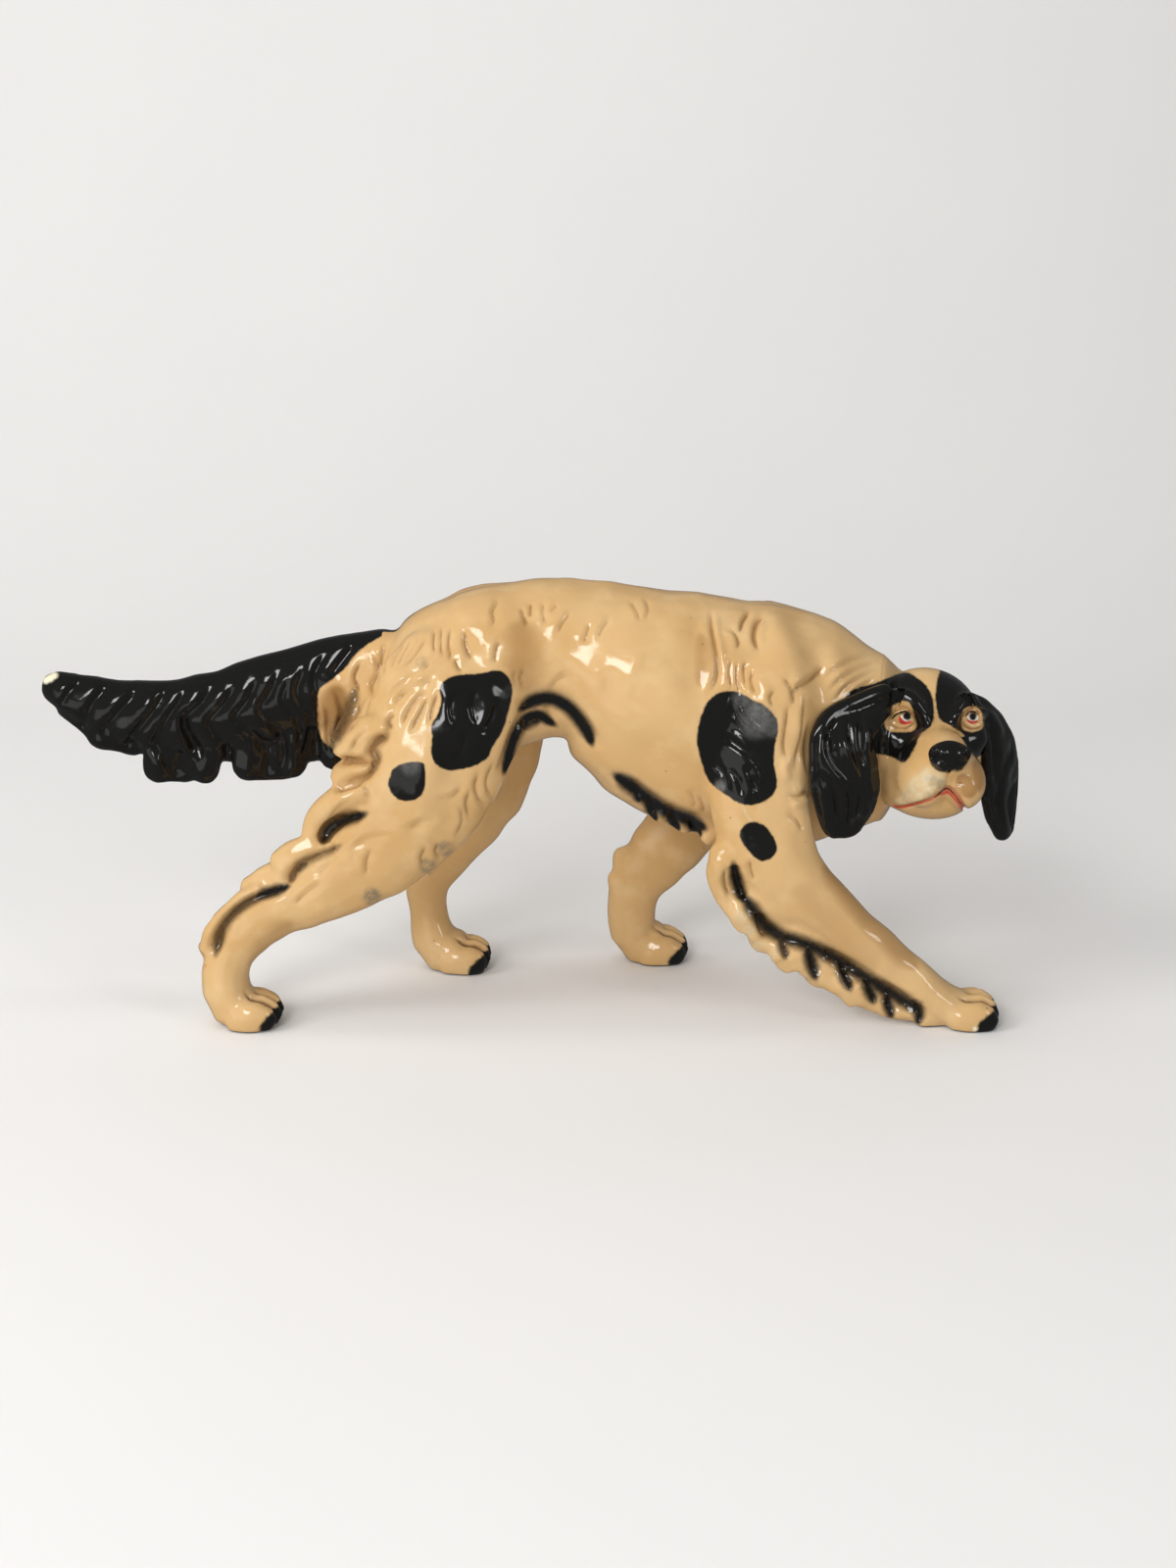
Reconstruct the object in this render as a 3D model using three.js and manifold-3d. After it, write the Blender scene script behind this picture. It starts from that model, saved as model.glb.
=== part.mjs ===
// A stalking setter in painted plaster, built as a caster builds it: a hollow trunk in two half shells, with the
// head, ears, tail and legs cast apart, seated on flat joints and pinned by iron rods.
// Millimetres, +X the way the dog walks, +Y its left side, +Z up. The soles stand on Z = 0.
import * as THREE from "three";
import { ParametricGeometry } from "three/addons/geometries/ParametricGeometry.js";
import { mergeVertices } from "three/addons/utils/BufferGeometryUtils.js";
import Module from "manifold-3d";

const wasm = await Module();
wasm.setup();

const vector = (x, y, z) => new THREE.Vector3(x, y, z);
const seatAt = (at, facing) => ({ at, facing: facing.normalize() });
const right = -1;
const left = 1;

// Main sizes. The tables below are drawn for the drawn leg height: changing the leg height stretches the legs and
// carries everything above the brisket with them.
const legHeight = 79; // floor to brisket
const drawnLegHeight = 79;
const tailLength = 186; // from its root inside the rump to its tip
const lifted = (z) => (z < drawnLegHeight ? (z * legHeight) / drawnLegHeight : z - drawnLegHeight + legHeight);
const spot = (x, y, z) => vector(x, y, lifted(z));

// Casting
const wall = 9; // plaster left round the trunk's hollow
const hollow = { from: -56, to: 136 }; // the hollow's ends, along the trunk
const jointGap = 0.3; // the film of plaster in every joint
const rodClearance = 0.3; // between an iron rod and its bore, all round

// Iron rods
const legRodRadius = 2.5;
const neckRod = { radius: 4, from: spot(148, 0, 138), to: spot(200, -8, 140) };
const tailRod = { radius: 3, from: spot(-62, 0, 176), to: spot(-140, 0, 166) };

// Trunk and neck: the back line, the belly line and the half width at stations from rump to nape
const trunkStations = [
  { x: -84, y: 0, top: 180, bottom: 148, wide: 13 },
  { x: -70, y: 0, top: 188.5, bottom: 130, wide: 26 },
  { x: -45, y: 0, top: 202.5, bottom: 123, wide: 35 },
  { x: -15, y: 0, top: 214.5, bottom: 131, wide: 37 },
  { x: 8, y: 0, top: 217.5, bottom: 137.5, wide: 34 },
  { x: 30, y: 0, top: 218, bottom: 135.5, wide: 37 },
  { x: 60, y: 0, top: 216.5, bottom: 106, wide: 42 },
  { x: 90, y: 0, top: 209.5, bottom: 88, wide: 45 },
  { x: 118, y: 0, top: 205, bottom: 81, wide: 44 },
  { x: 143, y: 0, top: 197, bottom: 79, wide: 38 },
  { x: 165, y: -2, top: 183, bottom: 87, wide: 31 },
  { x: 184, y: -5, top: 169, bottom: 94, wide: 26 },
  { x: 198, y: -6, top: 159, bottom: 98, wide: 22 },
];
const trunkSwell = 0.06; // the ribs are wider above than below

// Legs: stations from the top of the shoulder or hip down to the paw. Y is the distance from the middle plane.
// The seat is the flat joint with the trunk, and the rod runs between two of the stations.
const legs = {
  foreleg_right: {
    side: right,
    stations: [
      { x: 110, y: 17, z: 194, deep: 14, wide: 7 },
      { x: 114, y: 33, z: 168, deep: 22, wide: 13 },
      { x: 113, y: 37, z: 135, deep: 25, wide: 13 },
      { x: 114, y: 41, z: 105, deep: 25, wide: 14 },
      { x: 127.5, y: 43, z: 78.5, deep: 19.5, wide: 14 },
      { x: 148.5, y: 43, z: 57.5, deep: 15.5, wide: 12 },
      { x: 171, y: 42, z: 38.5, deep: 13.5, wide: 11 },
      { x: 192, y: 42, z: 21.5, deep: 11.5, wide: 11 },
      { x: 206, y: 41, z: 11, deep: 11, wide: 13 },
      { x: 221, y: 41, z: 5, deep: 10, wide: 15 },
    ],
    seat: seatAt(spot(112, -36, 98), vector(0.35, -0.6, -0.72)),
    rod: { low: 4, high: 2 },
  },
  foreleg_left: {
    side: left,
    stations: [
      { x: 108, y: 17, z: 192, deep: 14, wide: 7 },
      { x: 112, y: 33, z: 160, deep: 23, wide: 13 },
      { x: 104, y: 39, z: 125, deep: 25, wide: 14 },
      { x: 88, y: 42, z: 90, deep: 21, wide: 14 },
      { x: 68.5, y: 45, z: 61, deep: 18.5, wide: 12 },
      { x: 55.5, y: 47, z: 43, deep: 15, wide: 11 },
      { x: 53, y: 48, z: 28, deep: 13, wide: 11 },
      { x: 54.5, y: 50, z: 12, deep: 12.5, wide: 13 },
      { x: 70, y: 51, z: 6, deep: 13, wide: 15 },
    ],
    seat: seatAt(spot(96, 36, 98), vector(-0.35, 0.5, -0.8)),
    rod: { low: 4, high: 2 },
  },
  hindleg_right: {
    side: right,
    stations: [
      { x: -28, y: 15, z: 197, deep: 22, wide: 10 },
      { x: -36, y: 28, z: 165, deep: 39, wide: 17 },
      { x: -48, y: 34, z: 130, deep: 37, wide: 18 },
      { x: -68, y: 38, z: 98, deep: 30, wide: 16 },
      { x: -97, y: 40, z: 73, deep: 19, wide: 13 },
      { x: -124.5, y: 41, z: 60, deep: 15, wide: 11 },
      { x: -144, y: 42, z: 45.5, deep: 13.5, wide: 10.5 },
      { x: -151, y: 42, z: 28, deep: 12, wide: 11 },
      { x: -149, y: 42, z: 12, deep: 12.5, wide: 13 },
      { x: -137, y: 42, z: 5, deep: 10, wide: 15 },
    ],
    seat: seatAt(spot(-56, -30, 114), vector(-0.35, -0.3, -0.88)),
    rod: { low: 4, high: 2 },
  },
  hindleg_left: {
    side: left,
    stations: [
      { x: -27, y: 15, z: 197, deep: 22, wide: 10 },
      { x: -26, y: 28, z: 165, deep: 34, wide: 17 },
      { x: -19, y: 33, z: 130, deep: 27, wide: 17 },
      { x: -22, y: 36, z: 98, deep: 19, wide: 15 },
      { x: -40, y: 38, z: 69, deep: 14, wide: 12 },
      { x: -56, y: 40, z: 47, deep: 12, wide: 10.5 },
      { x: -55.5, y: 40, z: 30, deep: 10.5, wide: 10.5 },
      { x: -51, y: 38.5, z: 12, deep: 13, wide: 13 },
      { x: -36, y: 37, z: 6, deep: 13.5, wide: 15.5 },
    ],
    seat: seatAt(spot(-18, 30, 112), vector(-0.1, 0.3, -0.92)),
    rod: { low: 4, high: 2 },
  },
};
const outerToe = { long: 14, wide: 6.5, tall: 10, aside: 10, ahead: -1 };
const innerToe = { long: 12.5, wide: 5, tall: 11, aside: 3.8, ahead: 2 };
const toeRise = 0.55; // a toe's middle above the floor, as a share of its height

// Feathering: rows of hair locks. The roots follow one smooth line and the tips another.
const feathers = {
  foreleg_right: {
    count: 9,
    roots: [spot(107, -44, 88), spot(121, -44, 62), spot(142, -44, 46), spot(172, -44, 26), spot(205, -43, 10)],
    tips: [spot(88, -44, 85), spot(98, -44, 59), spot(120, -44, 36), spot(153, -44, 19), spot(192, -43, 2)],
    thick: 6.5,
    wide: 12.5,
  },
  foreleg_left: {
    count: 3,
    roots: [spot(67, 44, 67), spot(59, 46, 58), spot(54, 47, 47)],
    tips: [spot(53, 44, 66), spot(42, 46, 55), spot(40, 47, 42)],
    thick: 6,
    wide: 9,
  },
  hindleg_right: {
    count: 8,
    roots: [
      spot(-64, -38, 150),
      spot(-72, -39, 137),
      spot(-80, -40, 122),
      spot(-92, -40, 105),
      spot(-106, -41, 92),
      spot(-122, -41, 77),
      spot(-138, -42, 61),
      spot(-148, -42, 46),
    ],
    tips: [
      spot(-90, -36, 136),
      spot(-94, -37, 122),
      spot(-102, -37, 105),
      spot(-107, -38, 93),
      spot(-124, -39, 79),
      spot(-140, -40, 65),
      spot(-154, -42, 49),
      spot(-161, -42, 33),
    ],
    thick: 7,
    wide: 10,
  },
  hindleg_left: {
    count: 5,
    roots: [spot(-46, 35, 144), spot(-46, 37, 112), spot(-58, 39, 78)],
    tips: [spot(-63, 34, 134), spot(-62, 36, 102), spot(-69, 38, 66)],
    thick: 7,
    wide: 10,
  },
};
// Tail feathering: each lock's place along the tail, how far its tip trails behind its root, and its tip's height
const tailLocks = [
  { along: 0.2, trail: 4, root: 156, tip: 119.5 },
  { along: 0.265, trail: 2, root: 154, tip: 123 },
  { along: 0.32, trail: 3, root: 152, tip: 116 },
  { along: 0.37, trail: 3, root: 150, tip: 114 },
  { along: 0.43, trail: 4, root: 150, tip: 114 },
  { along: 0.495, trail: 3, root: 150, tip: 124 },
  { along: 0.55, trail: 5, root: 148, tip: 112.5 },
  { along: 0.6, trail: 6, root: 148, tip: 112 },
  { along: 0.66, trail: 8, root: 150, tip: 113 },
  { along: 0.74, trail: 8, root: 152, tip: 127 },
  { along: 0.81, trail: 7, root: 156, tip: 131 },
  { along: 0.885, trail: 7, root: 162, tip: 145 },
];
const tailLock = { thick: 6.5, wide: 9.5 };
// Belly fringe, on each flank: Y is the distance from the middle plane
const bellyFringe = {
  count: 5,
  roots: [spot(48, 14, 123), spot(70, 16, 107), spot(95, 18, 95)],
  tips: [spot(41, 15, 118), spot(61, 17, 100), spot(86, 19, 88)],
  thick: 5,
  wide: 6,
};
const lockStagger = 4; // neighbouring locks lie this far apart, to one side and the other of their row
const lockShape = [
  { share: -0.3, size: 0.7 },
  { share: 0.2, size: 1 },
  { share: 0.65, size: 1.05 },
  { share: 1, size: 0.8 },
];

// Tail: its top line, the depth of its core and its half width, at shares of its length from the root to the tip
const tailRoot = -58;
const tailStations = [
  { along: 0, top: 194, tall: 34, wide: 12 },
  { along: 0.11, top: 192, tall: 40, wide: 14 },
  { along: 0.225, top: 187.5, tall: 45, wide: 14 },
  { along: 0.385, top: 179.5, tall: 45, wide: 13 },
  { along: 0.55, top: 170, tall: 41, wide: 12.5 },
  { along: 0.71, top: 166, tall: 35, wide: 12 },
  { along: 0.845, top: 168, tall: 28, wide: 10.5 },
  { along: 0.955, top: 171, tall: 18, wide: 8 },
  { along: 1, top: 168, tall: 11, wide: 5 },
];
const alongTail = (share) => tailRoot - share * tailLength;
const tailSeat = seatAt(spot(-74, 0, 176), vector(-1, 0, -0.12));

// Head, in its own axes: +X out along the muzzle, +Y the dog's left, +Z up, from the middle of the skull
const headPlace = { at: spot(196.5, -8, 140), yaw: -85, roll: -4 };
const headSeat = seatAt(spot(176, -5, 134), vector(0.97, -0.2, 0));
const skullStations = [
  { x: -26, top: 14, bottom: -26, wide: 17 },
  { x: -14, top: 27.5, bottom: -34, wide: 24 },
  { x: 0, top: 32, bottom: -37, wide: 27 },
  { x: 11, top: 29.5, bottom: -37, wide: 28 },
  { x: 20, top: 22.5, bottom: -34, wide: 26.5 },
  { x: 28, top: 14, bottom: -28, wide: 22.5 },
  { x: 38, top: 10, bottom: -21, wide: 18.5 },
  { x: 48, top: 9, bottom: -15, wide: 15 },
  { x: 54, top: 6, bottom: -11, wide: 10.5 },
];
const skullSquare = 2.4; // a little boxier than an oval
const jawStations = [
  { x: -2, top: -16, bottom: -39, wide: 20 },
  { x: 18, top: -18, bottom: -37, wide: 18.5 },
  { x: 34, top: -17, bottom: -33, wide: 14 },
  { x: 46, top: -16, bottom: -26, wide: 8 },
];
const flew = { at: vector(30, 12, -13), radii: vector(21, 11, 16.5) };
const nose = { at: vector(54, 0, 3.5), radii: vector(6.5, 10, 7) };
const eye = { at: vector(20, 16.5, 12.5), radius: 5, socket: vector(6, 5.5, 6.5), opening: vector(4, 0, 0) };

// Ears, from the root on the skull to the hanging tip, and the direction across their broad side
const ears = {
  ear_right: {
    across: vector(1, 0.1, 0),
    stations: [
      { x: 181, y: -12, z: 162, thick: 9, wide: 9 },
      { x: 165, y: -28, z: 159, thick: 11, wide: 12 },
      { x: 154, y: -41, z: 150, thick: 11, wide: 14 },
      { x: 152, y: -47, z: 137, thick: 10, wide: 17 },
      { x: 154, y: -47, z: 123, thick: 9, wide: 17 },
      { x: 154.5, y: -46, z: 110, thick: 8, wide: 13.5 },
      { x: 154, y: -44, z: 97, thick: 6, wide: 6 },
    ],
  },
  ear_left: {
    across: vector(0.64, 0.77, 0),
    stations: [
      { x: 212, y: -9, z: 158, thick: 9, wide: 9 },
      { x: 223, y: -5, z: 152, thick: 10, wide: 10 },
      { x: 231.5, y: -2, z: 141, thick: 10, wide: 13.5 },
      { x: 237, y: 0, z: 126, thick: 10, wide: 16.5 },
      { x: 238.5, y: 1, z: 110, thick: 9, wide: 16.5 },
      { x: 240, y: 1, z: 95, thick: 8, wide: 13 },
      { x: 242.5, y: 1, z: 82, thick: 6, wide: 6 },
    ],
  },
};
const earFlutes = { count: 7, depth: 0.09 }; // strands of hair down the ear

// Fineness of the surfaces
const trunkMesh = { sides: 26, steps: 28 };
const hollowMesh = { sides: 12, steps: 12 };
const headMesh = { sides: 20, steps: 20 };
const jawMesh = { sides: 12, steps: 10 };
const legMesh = { sides: 14, steps: 22 };
const tailMesh = { sides: 14, steps: 20 };
const earMesh = { sides: 28, steps: 13 };
const lockMesh = { sides: 6, steps: 6, capSteps: 2 };
const ballMesh = { sides: 12, rings: 7 };
const smallBallMesh = { sides: 10, rings: 6 };
const rodSides = 12;
const reach = 600; // longer than the whole figure, for the blocks that cut it

// Paints
const creamPaint = new THREE.MeshStandardMaterial({ color: "#c9a468", roughness: 0.2, metalness: 0 });
const blackPaint = new THREE.MeshStandardMaterial({ color: "#171513", roughness: 0.15, metalness: 0 });
const iron = new THREE.MeshStandardMaterial({ color: "#4a4440", roughness: 0.7, metalness: 0.7 });

// Solids

function solidOf(geometry) {
  const bare = geometry.clone();
  bare.deleteAttribute("normal");
  bare.deleteAttribute("uv");
  const merged = mergeVertices(bare, 1e-4);
  const corners = [];
  for (let i = 0; i < merged.index.count; i += 3) {
    const [a, b, c] = [0, 1, 2].map((k) => merged.index.getX(i + k));
    if (a !== b && b !== c && c !== a) corners.push(a, b, c);
  }
  const vertProperties = new Float32Array(merged.attributes.position.array);
  return new wasm.Manifold(new wasm.Mesh({ numProp: 3, vertProperties, triVerts: new Uint32Array(corners) }));
}

function geometryOf(solid) {
  const mesh = solid.getMesh();
  const points = new Float32Array(mesh.numVert * 3);
  for (let i = 0; i < mesh.numVert; i++) {
    points.set(mesh.vertProperties.subarray(i * mesh.numProp, i * mesh.numProp + 3), i * 3);
  }
  const geometry = new THREE.BufferGeometry();
  geometry.setAttribute("position", new THREE.BufferAttribute(points, 3));
  geometry.setIndex(new THREE.BufferAttribute(new Uint32Array(mesh.triVerts), 1));
  geometry.computeVertexNormals();
  return geometry;
}

const join = (solids) => solids.reduce((whole, piece) => whole.add(piece));

// The half of space beyond a seat, shifted along the way the seat faces
function beyond(seat, shift = 0) {
  const block = new THREE.BoxGeometry(2 * reach, 2 * reach, reach);
  block.translate(0, 0, reach / 2 + shift);
  block.applyQuaternion(new THREE.Quaternion().setFromUnitVectors(vector(0, 0, 1), seat.facing));
  block.translate(seat.at.x, seat.at.y, seat.at.z);
  return solidOf(block);
}

const behind = (seat, shift = 0) => beyond(seatAt(seat.at, seat.facing.clone().negate()), shift);
const floor = seatAt(vector(0, 0, 0), vector(0, 0, -1));

// A smooth form drawn through oval stations and rounded at both ends. A station holds its centre, its half depth and
// half width, and how much wider the oval is on its deep side. The width lies along the direction across.
function loft(stations, mesh, options = {}) {
  const { grow = 0, across = vector(0, 1, 0), square = 2, caps = [0.05, 0.05] } = options;
  const { count: fluteCount, depth: fluteDepth } = options.flutes ?? { count: 0, depth: 0 };
  const centres = new THREE.CatmullRomCurve3(stations.map((s) => vector(s.x, s.y, s.z)));
  const sizes = new THREE.CatmullRomCurve3(stations.map((s) => vector(s.deep, s.wide, s.swell ?? 0)));
  const capShare = (mesh.capSteps ?? 3) / mesh.steps;
  const along = (v) => {
    const end = v < 0.5 ? 0 : 1;
    const fromEnd = end ? 1 - v : v;
    const turn = (Math.min(fromEnd / capShare, 1) * Math.PI) / 2;
    const straight = (Math.max(fromEnd - capShare, 0) / (0.5 - capShare)) * (0.5 - caps[end]);
    const t = caps[end] * (1 - Math.cos(turn)) + straight;
    return { t: end ? 1 - t : t, scale: Math.sin(turn) };
  };
  const rounded = (value) => Math.sign(value) * Math.abs(value) ** (2 / square);
  return new ParametricGeometry(
    (u, v, target) => {
      const { t, scale } = along(v);
      const size = sizes.getPoint(t);
      const tangent = centres.getTangent(t);
      const deepAxis = tangent.clone().cross(across).normalize();
      const wideAxis = deepAxis.clone().cross(tangent);
      const turn = (u === 1 ? 0 : u) * 2 * Math.PI;
      const deep = rounded(Math.sin(turn));
      const wide = rounded(Math.cos(turn)) * (1 + size.z * deep);
      const out = scale * (1 + fluteDepth * Math.cos(fluteCount * turn));
      target.copy(centres.getPoint(t));
      target.addScaledVector(deepAxis, (size.x + grow) * deep * out);
      target.addScaledVector(wideAxis, (size.y + grow) * wide * out);
    },
    mesh.sides,
    mesh.steps,
  );
}

const betweenLines = ({ x, y = 0, top, bottom, wide }) => ({
  x,
  y,
  z: (top + bottom) / 2,
  deep: (top - bottom) / 2,
  wide,
});

function ball(at, radii, { grow = 0, mesh = ballMesh } = {}) {
  const sphere = new THREE.SphereGeometry(1, mesh.sides, mesh.rings);
  sphere.scale(radii.x + grow, radii.y + grow, radii.z + grow);
  sphere.translate(at.x, at.y, at.z);
  return sphere;
}

// A straight round bar between two points, made longer by the same amount at each end
function bar(from, to, radius, longer = 0) {
  const line = to.clone().sub(from);
  const cylinder = new THREE.CylinderGeometry(radius, radius, line.length() + 2 * longer, rodSides);
  cylinder.applyQuaternion(new THREE.Quaternion().setFromUnitVectors(vector(0, 1, 0), line.normalize()));
  const middle = from.clone().add(to).divideScalar(2);
  cylinder.translate(middle.x, middle.y, middle.z);
  return solidOf(cylinder);
}

const rodSolid = ({ from, to, radius }) => bar(from, to, radius);
const boreSolid = ({ from, to, radius }) => bar(from, to, radius + rodClearance, rodClearance);

// One lock of hair, thick at its root and drawn to a point
function lock(root, tip, { thick, wide }, grow) {
  const fall = tip.clone().sub(root);
  const stations = lockShape.map(({ share, size }) => {
    const at = root.clone().addScaledVector(fall, share);
    return { x: at.x, y: at.y, z: at.z, deep: wide * size, wide: thick * size };
  });
  return solidOf(loft(stations, lockMesh, { grow, caps: [0.1, 0.16] }));
}

// A row of locks whose roots and tips follow two smooth lines
function featherRow(row, grow) {
  const roots = new THREE.CatmullRomCurve3(row.roots);
  const tips = new THREE.CatmullRomCurve3(row.tips);
  return Array.from({ length: row.count }, (_, i) => {
    const share = i / (row.count - 1);
    const aside = vector(0, (i % 2 ? lockStagger : -lockStagger) / 2, 0);
    return lock(roots.getPoint(share).add(aside), tips.getPoint(share).add(aside), row, grow);
  });
}

const onSide = (row, side) => ({
  ...row,
  roots: row.roots.map(({ x, y, z }) => vector(x, y * side, z)),
  tips: row.tips.map(({ x, y, z }) => vector(x, y * side, z)),
});

// Forms, each sculpted whole before it is parted from its neighbours

function trunkForm(grow = 0, mesh = trunkMesh) {
  const stations = trunkStations.map(({ top, bottom, ...place }) => ({
    ...betweenLines({ ...place, top: lifted(top), bottom: lifted(bottom) }),
    swell: trunkSwell,
  }));
  return solidOf(loft(stations, mesh, { grow }));
}

function pawToes(pad) {
  return [outerToe, innerToe].flatMap((toe) =>
    [left, right].map((side) => {
      const at = vector(pad.x + toe.ahead, pad.y + toe.aside * side, toe.tall * toeRise);
      return solidOf(ball(at, vector(toe.long, toe.wide, toe.tall), { mesh: smallBallMesh }));
    }),
  );
}

function legForm(name, grow = 0) {
  const leg = legs[name];
  const stations = leg.stations.map((s) => ({ ...s, y: s.y * leg.side, z: lifted(s.z) }));
  const limb = solidOf(loft(stations, legMesh, { grow, caps: [0.04, 0.04] }));
  const locks = featherRow(feathers[name], grow);
  return join([limb, ...pawToes(stations.at(-1)), ...locks]).subtract(beyond(floor));
}

function tailForm(grow = 0) {
  const stations = tailStations.map(({ along, top, tall, wide }) =>
    betweenLines({ x: alongTail(along), top: lifted(top), bottom: lifted(top) - tall, wide }),
  );
  const core = solidOf(loft(stations, tailMesh, { grow, across: vector(0, -1, 0) }));
  const locks = tailLocks.map(({ along, trail, root, tip }, i) => {
    const aside = i % 2 ? lockStagger / 2 : -lockStagger / 2;
    const x = alongTail(along);
    return lock(spot(x, aside, root), spot(x - trail, aside, tip), tailLock, grow);
  });
  return join([core, ...locks]);
}

const radians = THREE.MathUtils.degToRad;
const headMatrix = new THREE.Matrix4()
  .makeTranslation(headPlace.at)
  .multiply(new THREE.Matrix4().makeRotationZ(radians(headPlace.yaw)))
  .multiply(new THREE.Matrix4().makeRotationX(radians(headPlace.roll)));
const onHead = (geometry) => solidOf(geometry.applyMatrix4(headMatrix));

function headForm(grow = 0) {
  const skull = loft(skullStations.map(betweenLines), headMesh, { grow, square: skullSquare });
  const jaw = loft(jawStations.map(betweenLines), jawMesh, { grow });
  const forms = [skull, jaw, ball(nose.at, nose.radii, { grow })];
  const sockets = [];
  const eyes = [];
  for (const side of [left, right]) {
    const mirrored = ({ x, y, z }) => vector(x, y * side, z);
    const eyeRadii = vector(eye.radius, eye.radius, eye.radius);
    forms.push(ball(mirrored(flew.at), flew.radii, { grow }));
    sockets.push(ball(mirrored(eye.at).add(eye.opening), eye.socket, { mesh: smallBallMesh }));
    eyes.push(ball(mirrored(eye.at), eyeRadii, { mesh: smallBallMesh }));
  }
  const carved = join(forms.map(onHead)).subtract(join(sockets.map(onHead)));
  return join([carved, ...eyes.map(onHead)]);
}

function earForm({ across, stations }) {
  const ovals = stations.map(({ x, y, z, thick, wide }) => ({ x, y, z: lifted(z), deep: thick / 2, wide }));
  return solidOf(loft(ovals, earMesh, { across, square: 2.3, caps: [0.06, 0.05], flutes: earFlutes }));
}

// Parting: each cast keeps what lies beyond its seat, and the trunk keeps the rest, cut clear of the cast

const halfGap = jointGap / 2;
const rods = { neck_rod: neckRod, tail_rod: tailRod };
for (const [name, leg] of Object.entries(legs)) {
  const [from, to] = [leg.rod.high, leg.rod.low].map((i) => leg.stations[i]);
  rods[`${name}_rod`] = {
    radius: legRodRadius,
    from: spot(from.x, from.y * leg.side, from.z),
    to: spot(to.x, to.y * leg.side, to.z),
  };
}
const bores = join(Object.values(rods).map(boreSolid));

const casts = {};
const whole = trunkForm();
const fringes = [left, right].flatMap((side) => featherRow(onSide(bellyFringe, side), 0));
let trunk = join([whole, ...fringes]);
for (const [name, leg] of Object.entries(legs)) {
  const form = legForm(name);
  casts[name] = form.intersect(beyond(leg.seat, halfGap));
  trunk = trunk.add(form.intersect(behind(leg.seat, halfGap)));
  trunk = trunk.subtract(legForm(name, jointGap).intersect(beyond(leg.seat, -halfGap)));
}
casts.tail = tailForm().intersect(beyond(tailSeat, halfGap));
trunk = trunk.add(tailForm().intersect(behind(tailSeat, halfGap)));
trunk = trunk.subtract(tailForm(jointGap).intersect(beyond(tailSeat, -halfGap)));
casts.head = headForm().add(whole.intersect(beyond(headSeat, halfGap)));
trunk = trunk.intersect(behind(headSeat, halfGap)).subtract(headForm(jointGap));
for (const [name, ear] of Object.entries(ears)) {
  casts[name] = earForm(ear).subtract(headForm(jointGap)).subtract(trunkForm(jointGap));
}

// The hollow, and the trunk's two half shells on either side of the middle plane
const hollowSpace = trunkForm(-wall, hollowMesh)
  .intersect(beyond(seatAt(vector(hollow.from, 0, 0), vector(1, 0, 0))))
  .intersect(behind(seatAt(vector(hollow.to, 0, 0), vector(1, 0, 0))));
trunk = trunk.subtract(hollowSpace);
for (const [name, side] of Object.entries({ trunk_right_half: right, trunk_left_half: left })) {
  casts[name] = trunk.intersect(beyond(seatAt(vector(0, 0, 0), vector(0, side, 0)), halfGap));
}

// The figure, with its origin under the middle of its box

const blackCasts = ["tail", "ear_right", "ear_left"];
const figure = new THREE.Group();
function place(name, solid, material) {
  const mesh = new THREE.Mesh(geometryOf(solid), material);
  mesh.name = name;
  figure.add(mesh);
}
for (const [name, solid] of Object.entries(casts)) {
  place(name, solid.subtract(bores), blackCasts.includes(name) ? blackPaint : creamPaint);
}
for (const [name, rod] of Object.entries(rods)) place(name, rodSolid(rod), iron);

const box = new THREE.Box3().setFromObject(figure);
const middle = box.getCenter(vector(0, 0, 0));
figure.position.set(-middle.x, -middle.y, -box.min.z);
const dog = new THREE.Group();
dog.add(figure);

export default dog;
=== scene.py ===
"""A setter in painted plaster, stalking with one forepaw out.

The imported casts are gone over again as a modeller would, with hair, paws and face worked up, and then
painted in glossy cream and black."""

import math

import bpy
import numpy as np
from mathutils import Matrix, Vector
from mathutils.bvhtree import BVHTree


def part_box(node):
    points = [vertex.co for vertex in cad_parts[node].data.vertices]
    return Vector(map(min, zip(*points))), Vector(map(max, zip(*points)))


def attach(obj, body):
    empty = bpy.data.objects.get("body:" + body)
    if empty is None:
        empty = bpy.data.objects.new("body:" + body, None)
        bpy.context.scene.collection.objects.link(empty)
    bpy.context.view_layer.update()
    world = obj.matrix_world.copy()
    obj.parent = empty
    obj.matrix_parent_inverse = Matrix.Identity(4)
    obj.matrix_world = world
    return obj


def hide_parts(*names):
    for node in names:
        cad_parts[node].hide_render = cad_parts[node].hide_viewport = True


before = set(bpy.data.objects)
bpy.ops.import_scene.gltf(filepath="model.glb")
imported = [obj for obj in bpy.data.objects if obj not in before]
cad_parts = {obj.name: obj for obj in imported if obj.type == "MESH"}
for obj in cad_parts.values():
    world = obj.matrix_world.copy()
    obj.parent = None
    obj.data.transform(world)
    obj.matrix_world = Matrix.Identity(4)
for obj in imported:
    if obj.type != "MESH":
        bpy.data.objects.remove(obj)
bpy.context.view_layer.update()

MM = 0.001
CLAY_CASTS = [
    "trunk_right_half",
    "trunk_left_half",
    "head",
    "tail",
    "foreleg_right",
    "foreleg_left",
    "hindleg_right",
    "hindleg_left",
]
EARS = ["ear_right", "ear_left"]
BLACK_CASTS = ["tail", *EARS]

# The figure is drawn in millimetres from the spot under its hips.
# The neck rod's middle ties that spot to the frame.
NECK_ROD_MIDDLE = np.array([174.0, -4.0, 139.0])
rod_low, rod_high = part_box("neck_rod")
ORIGIN = np.array((rod_low + rod_high) / 2) / MM - NECK_ROD_MIDDLE

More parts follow.
